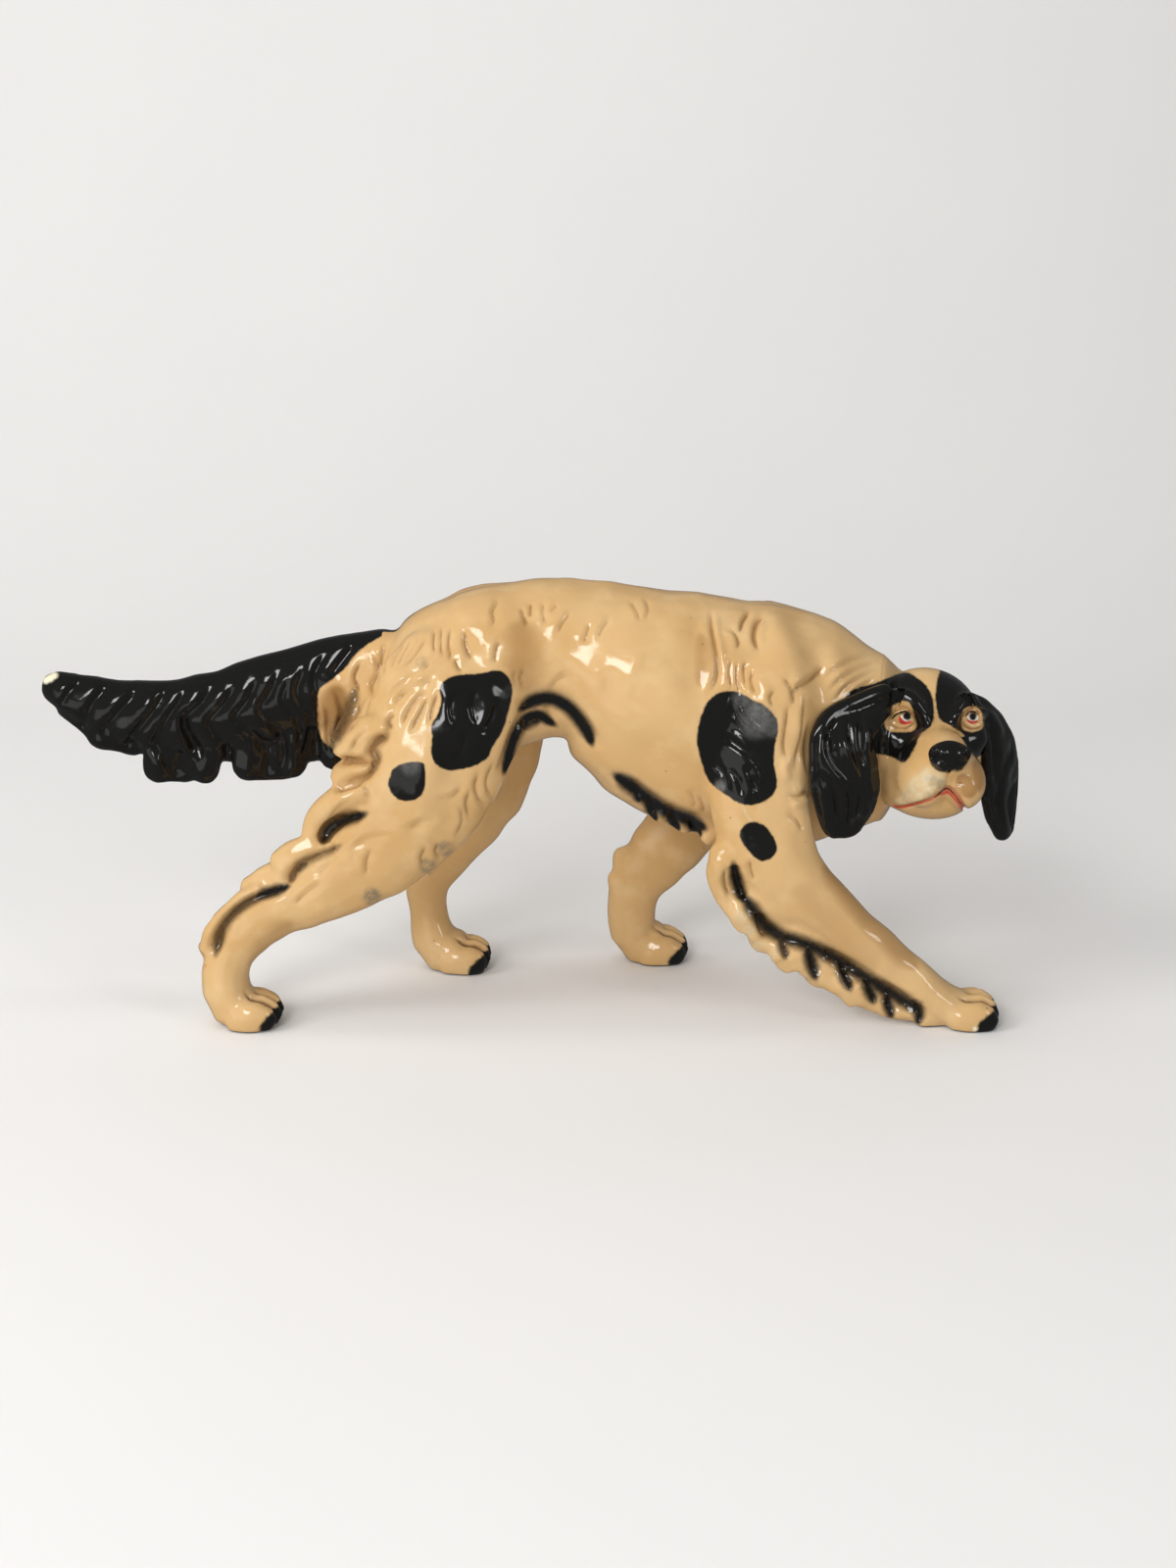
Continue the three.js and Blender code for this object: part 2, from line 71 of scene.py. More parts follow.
# The camera of the photograph, in the figure's millimetres, and its frame in pixels
CAMERA_AT = np.array([29.5, -1059.0, 416.0])
CAMERA_AWAY = 1060
CAMERA_PITCH = math.radians(16)
LENS_MM = 50
SENSOR_MM = 36
PHOTO_WIDE, PHOTO_HIGH = 1200, 1600
FOCAL_PX = PHOTO_HIGH * LENS_MM / SENSOR_MM
PX_PER_MM = FOCAL_PX / CAMERA_AWAY

# The head's own axes: out along the muzzle, to the dog's left, and up
HEAD_AT = np.array([196.5, -8.0, 140.0])
HEAD_YAW = math.radians(-85)
HEAD_ROLL = math.radians(-4)

# Fineness of the modelled surfaces, and how many times each is smoothed
CLAY_VOXEL = 0.9 * MM
EAR_VOXEL = 0.6 * MM
CLAY_SMOOTHING = 24
COAT_SMOOTHING = 50
EAR_SMOOTHING = 75

# The depth given to a point that lies well outside an outline, in millimetres
OUTSIDE = -40.0

# How squarely a point has to face the camera to count as seen
SEEN = 0.1


# Curves and brushes

def smooth_step(low, high, value):
    share = np.clip((value - low) / (high - low), 0, 1)
    return share * share * (3 - 2 * share)


def curve(points, closed=False, steps=6):
    """A smooth line through points."""
    points = np.array(points, float)
    if closed:
        ring = np.concatenate([points[-1:], points, points[:2]])
    else:
        ring = np.concatenate([2 * points[:1] - points[1:2], points, 2 * points[-1:] - points[-2:-1]])
    share = np.arange(steps)[:, None] / steps
    line = []
    for a, b, c, d in zip(ring, ring[1:], ring[2:], ring[3:]):
        bend = 2 * a - 5 * b + 4 * c - d
        twist = 3 * b - a - 3 * c + d
        line.append(0.5 * (2 * b + (c - a) * share + bend * share**2 + twist * share**3))
    line = np.concatenate(line)
    return line if closed else np.concatenate([line, points[-1:]])


def to_line(spots, line):
    """The distance of each spot from a line, and how far along it the nearest point lies, from 0 to 1."""
    step = np.diff(line, axis=0)
    length = np.linalg.norm(step, axis=1)
    before = np.concatenate([[0], np.cumsum(length)[:-1]])
    best = np.full(len(spots), np.inf)
    along = np.zeros(len(spots))
    for start, way, size, past in zip(line, step, length, before):
        share = np.clip(((spots - start) @ way) / max(size * size, 1e-9), 0, 1)
        away = ((spots - start - share[:, None] * way) ** 2).sum(1)
        nearer = away < best
        best[nearer] = away[nearer]
        along[nearer] = past + share[nearer] * size
    return np.sqrt(best), along / length.sum()


def near_box(spots, line, reach):
    return ((spots > line.min(0) - reach) & (spots < line.max(0) + reach)).all(1)


def inside(spots, outline, where, reach=12):
    """How far each spot lies inside a closed outline of pixels, in millimetres. It is OUTSIDE well away."""
    line = curve(outline, closed=True)
    ring = np.concatenate([line, line[:1]])
    depth = np.full(len(spots), OUTSIDE)
    near = np.flatnonzero(where & near_box(spots, line, reach))
    found = spots[near]
    away, _ = to_line(found, ring)
    within = np.zeros(len(near), bool)
    for (ax, ay), (bx, by) in zip(ring, ring[1:]):
        if ay != by:
            crosses = (ay > found[:, 1]) != (by > found[:, 1])
            within ^= crosses & (found[:, 0] < ax + (found[:, 1] - ay) / (by - ay) * (bx - ax))
    depth[near] = np.where(within, away, -away) / PX_PER_MM
    return depth


def brush(spots, line, width, where, taper=0.25):
    """How hard a tapered brush drawn along a line of pixels presses on each spot, from 0 to 1."""
    line = curve(line)
    reach = width * PX_PER_MM
    press = np.zeros(len(spots))
    near = np.flatnonzero(where & near_box(spots, line, reach))
    away, along = to_line(spots[near], line)
    ends = np.minimum(along, 1 - along)
    narrow = reach * (0.35 + 0.65 * smooth_step(0, taper, ends))
    press[near] = np.clip(1 - (away / narrow) ** 2, 0, None) ** 2 * smooth_step(-0.02, taper / 2, ends)
    return press


def tooled(spots, line, width, where, lean=0.0, taper=0.3):
    """The relief left by a modelling tool drawn along a line of pixels: a groove one deep.
    A tool that leans throws the clay up on the left of the picture, as at the edge of a tuft."""
    line = curve(line)
    half = width * PX_PER_MM
    relief = np.zeros(len(spots))
    near = np.flatnonzero(where & near_box(spots, line, 4 * half))
    away, along = to_line(spots[near], line)
    ends = smooth_step(-0.02, taper, np.minimum(along, 1 - along))
    groove = -np.exp(-((away / half) ** 2))
    if lean:
        run = np.concatenate([[0], np.cumsum(np.linalg.norm(np.diff(line, axis=0), axis=1))])
        foot = np.interp(along, run / run[-1], line[:, 0])
        leftward = np.clip((foot - spots[near, 0]) / (0.45 * half), -1, 1)
        tuft = leftward * np.exp(-((away / (2.3 * half)) ** 2))
        groove = (1 - lean) * groove + lean * tuft
    relief[near] = ends * groove
    return relief


def in_photo(points):
    """The pixel of the photograph at which the camera sees each point."""
    out = points - CAMERA_AT
    depth = out[:, 1] * math.cos(CAMERA_PITCH) - out[:, 2] * math.sin(CAMERA_PITCH)
    rise = out[:, 1] * math.sin(CAMERA_PITCH) + out[:, 2] * math.cos(CAMERA_PITCH)
    across = PHOTO_WIDE / 2 + FOCAL_PX * out[:, 0] / depth
    return np.stack([across, PHOTO_HIGH / 2 - FOCAL_PX * rise / depth], 1)


def on_head(points):
    """Points in the head's own axes."""
    x, y, z = (points - HEAD_AT).T
    ahead = x * math.cos(HEAD_YAW) + y * math.sin(HEAD_YAW)
    aside = y * math.cos(HEAD_YAW) - x * math.sin(HEAD_YAW)
    left = aside * math.cos(HEAD_ROLL) + z * math.sin(HEAD_ROLL)
    return np.stack([ahead, left, z * math.cos(HEAD_ROLL) - aside * math.sin(HEAD_ROLL)], 1)


def off_head(spots):
    """Spots in the head's own axes, back in the figure's millimetres."""
    ahead, left, up = spots.T
    aside = left * math.cos(HEAD_ROLL) - up * math.sin(HEAD_ROLL)
    rise = left * math.sin(HEAD_ROLL) + up * math.cos(HEAD_ROLL)
    x = ahead * math.cos(HEAD_YAW) - aside * math.sin(HEAD_YAW)
    y = ahead * math.sin(HEAD_YAW) + aside * math.cos(HEAD_YAW)
    return np.stack([x, y, rise], 1) + HEAD_AT


class Surface:
    """A mesh's points and normals in the figure's millimetres, and where the camera sees them.
    A point on the far flank is also looked up as if the figure were turned round, so both flanks
    are worked alike."""

    def __init__(self, piece):
        self.mesh = piece.data
        self.at = self.read() / MM - ORIGIN
        self.look()

    def read(self):
        flat = np.empty(len(self.mesh.vertices) * 3, np.float32)
        self.mesh.vertices.foreach_get("co", flat)
        return flat.reshape(-1, 3).astype(float)

    def look(self):
        flat = np.empty(len(self.at) * 3, np.float32)
        self.mesh.vertex_normals.foreach_get("vector", flat)
        self.normal = flat.reshape(-1, 3).astype(float)
        self.px = in_photo(self.at)
        self.facing = self.toward_camera(self.at, self.normal)
        turned = np.where(self.at[:, 1:2] > 0, [[1, -1, 1]], [[1, 1, 1]])
        self.flank_px = in_photo(self.at * turned)
        self.flank_facing = self.toward_camera(self.at * turned, self.normal * turned)
        self.head = on_head(self.at)

    @staticmethod
    def toward_camera(points, normals):
        out = CAMERA_AT - points
        return (out * normals).sum(1) / np.linalg.norm(out, axis=1)

    def edges(self):
        flat = np.empty(len(self.mesh.edges) * 2, np.int32)
        self.mesh.edges.foreach_get("vertices", flat)
        return flat.reshape(-1, 2)

    def eased(self, values, rounds):
        """Values on the points, each averaged with its neighbours' a number of times."""
        one, two = self.edges().T
        count = np.bincount(one, minlength=len(values)) + np.bincount(two, minlength=len(values))
        for _ in range(rounds):
            total = np.bincount(one, values[two], len(values)) + np.bincount(two, values[one], len(values))
            values = 0.4 * values + 0.6 * total / np.maximum(count, 1)
        return values

    def hollows(self, rounds):
        """How far each point lies below the mean of its neighbours, in millimetres."""
        mean = np.stack([self.eased(axis, rounds) for axis in self.at.T], 1)
        return ((mean - self.at) * self.normal).sum(1)

    def store(self):
        moved = (self.at + ORIGIN) * MM
        self.mesh.vertices.foreach_set("co", moved.astype(np.float32).ravel())
        self.mesh.update()
        self.look()


# The clay: the casts joined and gone over as one

def deselect():
    bpy.ops.object.select_all(action="DESELECT")


def copy_of(casts, name):
    """A merged copy of some packed casts, as one object."""
    deselect()
    copies = []
    for cast_name in casts:
        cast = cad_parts[cast_name].copy()
        cast.data = cast.data.copy()
        cast.parent = None
        bpy.context.scene.collection.objects.link(cast)
        cast.select_set(True)
        copies.append(cast)
    bpy.context.view_layer.objects.active = copies[0]
    if len(copies) > 1:
        bpy.ops.object.join()
    copies[0].name = name
    bpy.ops.object.mode_set(mode="EDIT")
    bpy.ops.mesh.select_all(action="SELECT")
    bpy.ops.mesh.remove_doubles(threshold=1e-6)
    bpy.ops.object.mode_set(mode="OBJECT")
    copies[0].data.materials.clear()
    return copies[0]


def finish_with(piece, kind, **settings):
    """Adds a modifier and applies it."""
    bpy.context.view_layer.objects.active = piece
    modifier = piece.modifiers.new(kind.lower(), kind)
    for key, value in settings.items():
        setattr(modifier, key, value)
    bpy.ops.object.modifier_apply(modifier=modifier.name)


def smooth_where(piece, where, rounds):
    """Smooths some of a piece's points."""
    group = piece.vertex_groups.new(name="smoothed")
    group.add(np.flatnonzero(where).tolist(), 1.0, "REPLACE")
    finish_with(piece, "SMOOTH", factor=0.5, iterations=rounds, vertex_group=group.name)
    piece.vertex_groups.clear()


def refine(piece, where):
    """Cuts each face whose corners are all chosen into four."""
    mesh = piece.data
    starts = np.empty(len(mesh.polygons), np.int32)
    corners = np.empty(len(mesh.loops), np.int32)
    mesh.polygons.foreach_get("loop_start", starts)
    mesh.loops.foreach_get("vertex_index", corners)
    chosen = np.logical_and.reduceat(where[corners], starts)
    deselect()
    piece.select_set(True)
    bpy.context.view_layer.objects.active = piece
    bpy.ops.object.mode_set(mode="EDIT")
    bpy.ops.mesh.select_mode(type="FACE")
    bpy.ops.mesh.select_all(action="DESELECT")
    bpy.ops.object.mode_set(mode="OBJECT")
    mesh.polygons.foreach_set("select", chosen)
    bpy.ops.object.mode_set(mode="EDIT")
    bpy.ops.mesh.subdivide(number_cuts=1)
    bpy.ops.object.mode_set(mode="OBJECT")


def distances(points, casts):
    """Each point's distance from each cast, in millimetres."""
    far, reach = 99.0, 12 * MM
    away = np.full((len(points), len(casts)), far)
    for column, cast_name in enumerate(casts):
        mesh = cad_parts[cast_name].data
        tree = BVHTree.FromPolygons([v.co for v in mesh.vertices], [p.vertices for p in mesh.polygons])
        low, high = (np.array(corner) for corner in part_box(cast_name))
        near = ((points > low - reach) & (points < high + reach)).all(1)
        for i in np.flatnonzero(near):
            hit = tree.find_nearest(Vector(points[i]), reach)
            if hit[3] is not None:
                away[i, column] = hit[3] / MM
    return away


# Rolls of clay laid on before the hair is drawn, as lines in the figure's millimetres and half thicknesses
FRINGE_WEB = [(94, -44, 78), (100, -44, 63), (113, -44.5, 49), (124, -44, 40), (137, -44, 32), (149, -44, 24),
              (161, -45, 17.5), (177, -44, 9.5), (193, -44, 6.5)]
ELBOW_FLAP = [(102, -47, 92), (95.5, -47.5, 90), (91.5, -46, 83.5), (92, -44.5, 75.5), (96.5, -43.5, 65.5)]
TAIL_ROOT_RIGHT = [(-78, -10, 162), (-84, -15, 149), (-91, -20, 136)]
TAIL_ROOT_LEFT = [(-76, 9, 164), (-82, 11, 154)]
RUMP_RIGHT = [(-68, -16, 164), (-75, -22, 154), (-83, -26, 142)]
THIGH_WEB_LEFT = [(-40, 37, 107), (-44, 37, 99), (-45, 37, 91), (-49, 37, 84), (-53, 37, 77)]
THIGH_CURL_TOP = [(-66.8, -41, 151.4), (-78.4, -39, 150.4), (-86.3, -38.5, 144.5), (-88.2, -39, 137.5)]
THIGH_CURL_SECOND = [(-72.3, -43.5, 135.5), (-84.7, -39.5, 130.8), (-92.3, -38, 123.3)]
THIGH_CURL_MIDDLE = [(-77.2, -45, 122.6), (-91.8, -43, 117), (-102, -40, 106.3), (-104.7, -40, 97.9)]
THIGH_CURL_LOW = [(-97.5, -45, 92), (-112, -44, 83.5), (-123, -42, 75.5)]
SHIN_CURL = [(-130, -44, 71.8), (-143.7, -44.5, 62.8), (-154.8, -45.5, 50.7), (-159.5, -43.5, 38.5)]
TAIL_EDGE_TIP = [(-234.3, -1, 152.4), (-224.2, -1, 142.8), (-214.8, -1, 134.7), (-205.1, -1, 132.5)]
TAIL_EDGE_MIDDLE = [(-193.9, -1, 121), (-185.7, -1, 117.8), (-175.9, -1, 116.8), (-165, -1, 118)]
TAIL_EDGE_ROOT = [(-145.1, -1, 118), (-133.8, -1, 117.4), (-122, -1, 118.8)]
CLAY_ROLLS = [
    (TAIL_EDGE_TIP, 3.2),
    (TAIL_EDGE_MIDDLE, 3.4),
    (TAIL_EDGE_ROOT, 3.4),
    (FRINGE_WEB, 5.2),
    (ELBOW_FLAP, 4.2),
    (TAIL_ROOT_RIGHT, 9),
    (TAIL_ROOT_LEFT, 8),
    (RUMP_RIGHT, 8),
    (THIGH_WEB_LEFT, 5.5),
    (THIGH_CURL_TOP, 7),
    (THIGH_CURL_SECOND, 6),
    (THIGH_CURL_MIDDLE, 7),
    (THIGH_CURL_LOW, 5.2),
    (SHIN_CURL, 4.8),
]


def add_clay(clay, line, thick):
    """Lays a round roll of clay along a line and joins it to the rest."""
    path = bpy.data.curves.new("roll", "CURVE")
    path.dimensions = "3D"
    path.bevel_depth = thick * MM
    path.use_fill_caps = True
    points = (curve(line) + ORIGIN) * MM
    spline = path.splines.new("POLY")
    spline.points.add(len(points) - 1)
    spline.points.foreach_set("co", np.column_stack([points, np.ones(len(points))]).ravel())
    roll = bpy.data.objects.new("roll", path)
    bpy.context.scene.collection.objects.link(roll)
    deselect()
    roll.select_set(True)
    bpy.context.view_layer.objects.active = roll
    bpy.ops.object.convert(target="MESH")
    clay.select_set(True)
    bpy.context.view_layer.objects.active = clay
    bpy.ops.object.join()


clay = copy_of(CLAY_CASTS, "clay")
for line, thick in CLAY_ROLLS:
    add_clay(clay, line, thick)
finish_with(clay, "REMESH", mode="VOXEL", voxel_size=CLAY_VOXEL)
finish_with(clay, "SMOOTH", factor=0.5, iterations=CLAY_SMOOTHING)

# The paws' middles on the floor, in the figure's millimetres
PAW_MIDDLES = [(216.6, -41.6), (67.1, 50.9), (-138.3, -42.0), (-39.1, 37.1)]
PAW_HIGH = 22
TAIL_FROM = -84

# The outlines, in pixels of the photograph, of hair that stands in thick locks and keeps its edges
FORELEG_FRINGE = [(735, 880), (760, 930), (830, 965), (940, 1025), (930, 1050), (840, 1020), (740, 970),
                  (715, 900)]
THIGH_CURLS = [(395, 720), (400, 760), (390, 810), (350, 870), (290, 920), (215, 990), (200, 960), (260, 880),
               (300, 800), (340, 725)]

shape = Surface(clay)
tail_part = shape.at[:, 0] < TAIL_FROM
low_part = shape.at[:, 2] < PAW_HIGH
fringe = np.maximum(inside(shape.px, FORELEG_FRINGE, shape.at[:, 1] < 0),
                    inside(shape.px, THIGH_CURLS, shape.at[:, 1] < 0)) > -1
smooth_where(clay, ~(tail_part | low_part | fringe), COAT_SMOOTHING)

# The face in the head's own axes: where it starts, how far it reaches to the sides and up and down,
# and from where on its features are painted
FACE_BACK = -8
FACE_WIDE = 34
FACE_HIGH = 44
FACE_FRONT = 4
shape = Surface(clay)
ahead, aside, rise = shape.head.T
refine(clay, (ahead > FACE_BACK) & (np.abs(aside) < FACE_WIDE) & (np.abs(rise) < FACE_HIGH))


# The face, as rounded forms in the head's own axes: middle, half sizes, and how softly each joins the rest

FACE_MIDDLE = 1.3
LEFT_LIFT = 1.8


def other_side(line):
    """The same line on the left of the face, which sits a little higher."""
    return [(ahead, 2 * FACE_MIDDLE - aside, up + LEFT_LIFT) for ahead, aside, up in line]


SKULL = ((-2, 0, 4), (27, 29, 29.5))
FACE_FORMS = [
    ((8, -13, -14), (20, 14, 20), 8),
    ((8, 14, -14), (20, 14, 20), 8),
    ((33, 0.5, 0), (25, 13, 12), 7),
    ((33, -7.5, -13), (22, 11.5, 14), 6),
    ((33, 11.5, -13), (22, 12, 14), 6),
    ((17, 0.5, -25.5), (24, 21, 11), 5),
    ((33, 2.5, -23.5), (10, 12, 5.8), 4),
    ((14, -17, 2), (8, 9, 7), 5),
    ((14, 19.5, 3.5), (8, 9, 7), 5),
    ((11, -17, 12), (8, 8, 9), 5),
    ((11, 19.6, 13.8), (8, 7, 8), 5),
]
NOSE = ((54, -0.6, 4), (5.2, 9.8, 7.4), 1.0)
NOSE_WINGS = [((55.5, -6.2, 5.4), (4.6, 4.4, 3.6), 1.6), ((55.5, 5.0, 5.9), (4.6, 4.4, 3.6), 1.6)]
NOSTRILS = [((58.6, -6.6, 2.4), (5.0, 3.4, 2.5), 0.8), ((58.6, 5.4, 3.0), (5.0, 3.4, 2.5), 0.8)]
PHILTRUM = [(57, -0.6, -2), (54, 0, -7), (51, 1, -12)]
PHILTRUM_WIDE = 0.7
FOREHEAD_FURROW = [(23, -1.2, 27), (27, -1.8, 20), (29, -2.4, 15)]
FURROW_WIDE = 1.2
BROW = [(10, -25, 18), (15.5, -19.5, 23), (19.5, -13, 22), (23.5, -8.5, 14)]
BROW_THICK = 4.2
EYE = (14.8, -15.9, 13.0)
EYE_SIZE = (6.6, 6.6, 6.2)
SOCKET = (26.2, -15.9, 13.0)
SOCKET_SIZE = (6.6, 8.0, 6.2)
UPPER_LID = [(17.4, -21.6, 11.4), (20.4, -19.4, 15.2), (20.9, -16.2, 16.6), (20.9, -13.3, 15.3),
             (20.1, -11.4, 12.6)]
LOWER_LID = [(17.4, -21.6, 11.4), (19.4, -19.6, 9.6), (20.2, -16.2, 8.9), (20.4, -13.2, 10.0),
             (20.1, -11.4, 12.6)]
UPPER_LID_THICK = 1.1
LOWER_LID_THICK = 0.9


def blob(spots, middle, half):
    """About how far spots lie outside an egg."""
    part = (spots - np.array(middle)) / np.array(half)
    size = np.linalg.norm(part, axis=1)
    slope = np.linalg.norm(part / np.array(half), axis=1)
    return size * (size - 1) / np.maximum(slope, 1e-6)


def tube(spots, line, thick, reach=9):
    """How far spots lie outside a round bar along a line, up to a reach."""
    line = curve(line, steps=3)
    out = np.full(len(spots), float(reach))
    near = np.flatnonzero(near_box(spots, line, reach))
    out[near] = np.minimum(to_line(spots[near], line)[0] - thick, reach)
    return out


def merge(one, two, ease):
    share = np.clip(0.5 + 0.5 * (two - one) / ease, 0, 1)
    return two + (one - two) * share - ease * share * (1 - share)


def carve(one, two, ease):
    return -merge(-one, two, ease)


def face_form(spots):
    """About how far spots lie outside the modelled head."""
    form = blob(spots, *SKULL)
    for middle, half, ease in FACE_FORMS:
        form = merge(form, blob(spots, middle, half), ease)
    form = carve(form, tube(spots, FOREHEAD_FURROW, FURROW_WIDE), 3)
    for side in (list, other_side):
        form = merge(form, tube(spots, side(BROW), BROW_THICK), 6)
        form = carve(form, blob(spots, side([SOCKET])[0], SOCKET_SIZE), 5)
        form = merge(form, blob(spots, side([EYE])[0], EYE_SIZE), 1.2)
        form = merge(form, tube(spots, side(UPPER_LID), UPPER_LID_THICK), 0.9)
        form = merge(form, tube(spots, side(LOWER_LID), LOWER_LID_THICK), 0.9)
    for middle, half, ease in (NOSE, *NOSE_WINGS):
        form = merge(form, blob(spots, middle, half), ease)
    for middle, half, ease in NOSTRILS:
        form = carve(form, blob(spots, middle, half), ease)
    return carve(form, tube(spots, PHILTRUM, PHILTRUM_WIDE), 0.8)


def drawn_onto(spots, form, rounds, nudge=0.05):
    """Spots moved along a form's slope until they lie on it."""
    spots = spots.copy()
    for _ in range(rounds):
        out = form(spots)
        slope = np.stack([(form(spots + nudge * axis) - out) / nudge for axis in np.eye(3)], 1)
        steep = np.maximum((slope**2).sum(1), 0.2)
        spots -= np.clip(out / steep, -4, 4)[:, None] * slope
    return spots


def model_face(shape, face, hold, rounds):
    """Moves the face's points onto its forms, each as far as it is held to them."""
    modelled = off_head(drawn_onto(shape.head[face], face_form, rounds))
    shape.at[face] += hold[:, None] * (modelled - shape.at[face])
    shape.store()


FACE_PASSES = 6
FACE_BLEND = 8
shape = Surface(clay)
away = distances(shape.read(), CLAY_CASTS)
trunk_away = away[:, :2].min(1)
is_head = (away.argmin(1) == CLAY_CASTS.index("head")) & (shape.head[:, 0] > FACE_BACK - FACE_BLEND)
face = np.flatnonzero(is_head)
hold = smooth_step(FACE_BACK - FACE_BLEND, FACE_BACK + FACE_BLEND, shape.head[face, 0])
hold *= smooth_step(1.5, 9, trunk_away[face])
eased = np.zeros(len(shape.at), bool)
eased[face] = hold > 0.98
for _ in range(FACE_PASSES):
    model_face(shape, face, hold, rounds=5)
    smooth_where(clay, eased, 4)
    shape = Surface(clay)
model_face(shape, face, hold, rounds=2)
on_face = is_head & (shape.head[:, 0] > FACE_FRONT)


# The body's broad forms, its folds and its hair: lines drawn with a modelling tool over the photograph,
# as half width and depth in millimetres and as pixels. A depth below nothing raises the clay.

BODY_FORMS = [
    (10, -2.0, [(474, 624), (492, 620)]),
    (10, 1.6, [(540, 636), (538, 664), (542, 700)]),
    (20, 3.0, [(604, 636), (598, 668), (594, 700)]),
    (16, -3.4, [(408, 776), (428, 782)]),
    (20, -3.2, [(630, 722), (680, 724)]),
    (8, -1.7, [(637, 648), (622, 674), (605, 704)]),
    (5, -0.9, [(650, 672), (642, 690), (634, 708)]),
    (8, -3.0, [(790, 642), (802, 666), (815, 694), (821, 718), (822, 740)]),
    (7, 1.4, [(712, 640), (716, 668), (712, 700)]),
    (6, -1.4, [(850, 676), (850, 696), (848, 716)]),
    (7, 1.6, [(834, 672), (838, 700), (838, 730), (834, 764)]),
]
FOLDS = [
    (3.4, 3.6, [(566, 739), (556, 728), (541, 730), (530, 743), (523, 760), (518, 778), (513, 794)]),
    (4.2, 2.8, [(528, 726), (540, 717), (560, 713), (579, 721), (592, 735), (602, 752), (607, 768)]),
    (3.0, 1.8, [(622, 786), (646, 803), (666, 818), (684, 828), (701, 834), (722, 845)]),
    (2.4, 4.2, [(400, 750), (386, 757), (380, 766), (384, 776), (366, 777), (344, 776)]),
    (2.2, 3.6, [(384, 776), (381, 786), (372, 794), (352, 802), (338, 806)]),
    (2.6, 5.0, [(370, 832), (352, 836), (336, 846), (327, 861)]),
    (2.2, 4.0, [(346, 862), (322, 874), (304, 884), (292, 904)]),
    (2.6, 4.0, [(292, 906), (268, 914), (246, 926), (230, 940), (222, 956), (217, 980)]),
    (2.4, 4.0, [(749, 882), (752, 900), (758, 918)]),
    (3.0, 2.8, [(756, 912), (768, 928), (780, 944), (796, 956), (816, 962), (832, 968), (850, 977),
                (868, 988), (890, 1001), (910, 1013), (930, 1025), (938, 1038)]),
]
BACK_HAIR = [
    (1.8, 1.0, [(509, 608), (501, 623), (502, 633), (496, 641)]),
    (1.5, 1.0, [(540, 614), (539, 631)]),
    (1.7, 1.1, [(529, 619), (533, 630), (537, 641)]),
    (1.5, 0.8, [(568, 615), (559, 624)]),
    (1.5, 0.8, [(553, 612), (552, 626), (556, 640)]),
    (1.7, 0.9, [(582, 622), (572, 636), (566, 648)]),
    (1.7, 0.8, [(600, 634), (597, 646), (593, 658)]),
    (1.7, 0.8, [(622, 628), (612, 642), (608, 654)]),
    (1.9, 1.2, [(509, 651), (504, 664), (503, 680)]),
    (2.0, 1.4, [(472, 640), (473, 658), (480, 677)]),
    (1.4, 1.1, [(443, 640), (441, 656), (443, 670)]),
    (1.4, 1.1, [(449, 637), (448, 656), (451, 674)]),
    (1.4, 1.1, [(458, 637), (456, 656), (459, 678)]),
    (1.5, 1.1, [(462, 670), (466, 682), (474, 688)]),
    (1.4, 1.1, [(413, 648), (405, 664), (394, 688)]),
    (1.3, 1.0, [(419, 648), (411, 664), (401, 684)]),
    (1.3, 1.0, [(430, 645), (421, 658), (410, 676)]),
    (1.4, 1.0, [(437, 646), (428, 659), (416, 674), (402, 684)]),
    (1.5, 1.0, [(440, 672), (430, 682), (412, 690)]),
    (1.5, 0.9, [(526, 682), (523, 692), (527, 702)]),
    (1.5, 0.9, [(534, 680), (530, 692), (534, 704)]),
    (2.0, 0.9, [(581, 684), (568, 692), (556, 706)]),
]
THIGH_HAIR = [
    (2.2, 1.9, [(446, 686), (430, 697), (410, 706), (396, 722)]),
    (2.0, 1.7, [(440, 700), (424, 712), (412, 730), (408, 746)]),
    (1.7, 1.4, [(436, 706), (430, 722), (420, 740), (417, 750)]),
    (1.6, 1.3, [(446, 704), (440, 720), (436, 740)]),
    (1.6, 1.2, [(424, 688), (408, 698), (390, 712)]),
    (1.8, 1.4, [(404, 724), (396, 734), (399, 748)]),
    (1.4, 0.7, [(380, 740), (364, 752), (356, 768)]),
    (1.5, 0.9, [(360, 814), (344, 824), (332, 840)]),
    (1.8, 1.2, [(462, 704), (458, 722), (462, 742)]),
    (1.8, 1.2, [(484, 700), (480, 722), (486, 744)]),
    (2.0, 1.9, [(505, 712), (501, 730), (490, 750)]),
    (1.8, 1.2, [(474, 744), (470, 760), (462, 774)]),
    (1.9, 1.5, [(489, 784), (483, 801), (487, 817), (499, 827)]),
    (1.8, 1.4, [(505, 774), (496, 793), (497, 808), (506, 818)]),
    (1.8, 1.4, [(479, 802), (474, 821), (479, 840)]),
    (1.8, 1.3, [(467, 820), (470, 838), (463, 856)]),
    (1.8, 1.2, [(472, 800), (459, 812), (442, 816)]),
    (1.8, 1.2, [(450, 838), (430, 838), (410, 846)]),
    (1.8, 1.3, [(446, 858), (443, 870), (449, 880)]),
    (1.7, 1.2, [(434, 862), (428, 876), (432, 888)]),
    (1.9, 1.0, [(378, 862), (372, 878), (372, 896)]),
    (1.7, 0.9, [(400, 852), (372, 856), (352, 868)]),
    (1.9, 1.0, [(352, 862), (334, 880), (316, 896)]),
    (1.8, 0.9, [(330, 896), (308, 912), (296, 926)]),
]
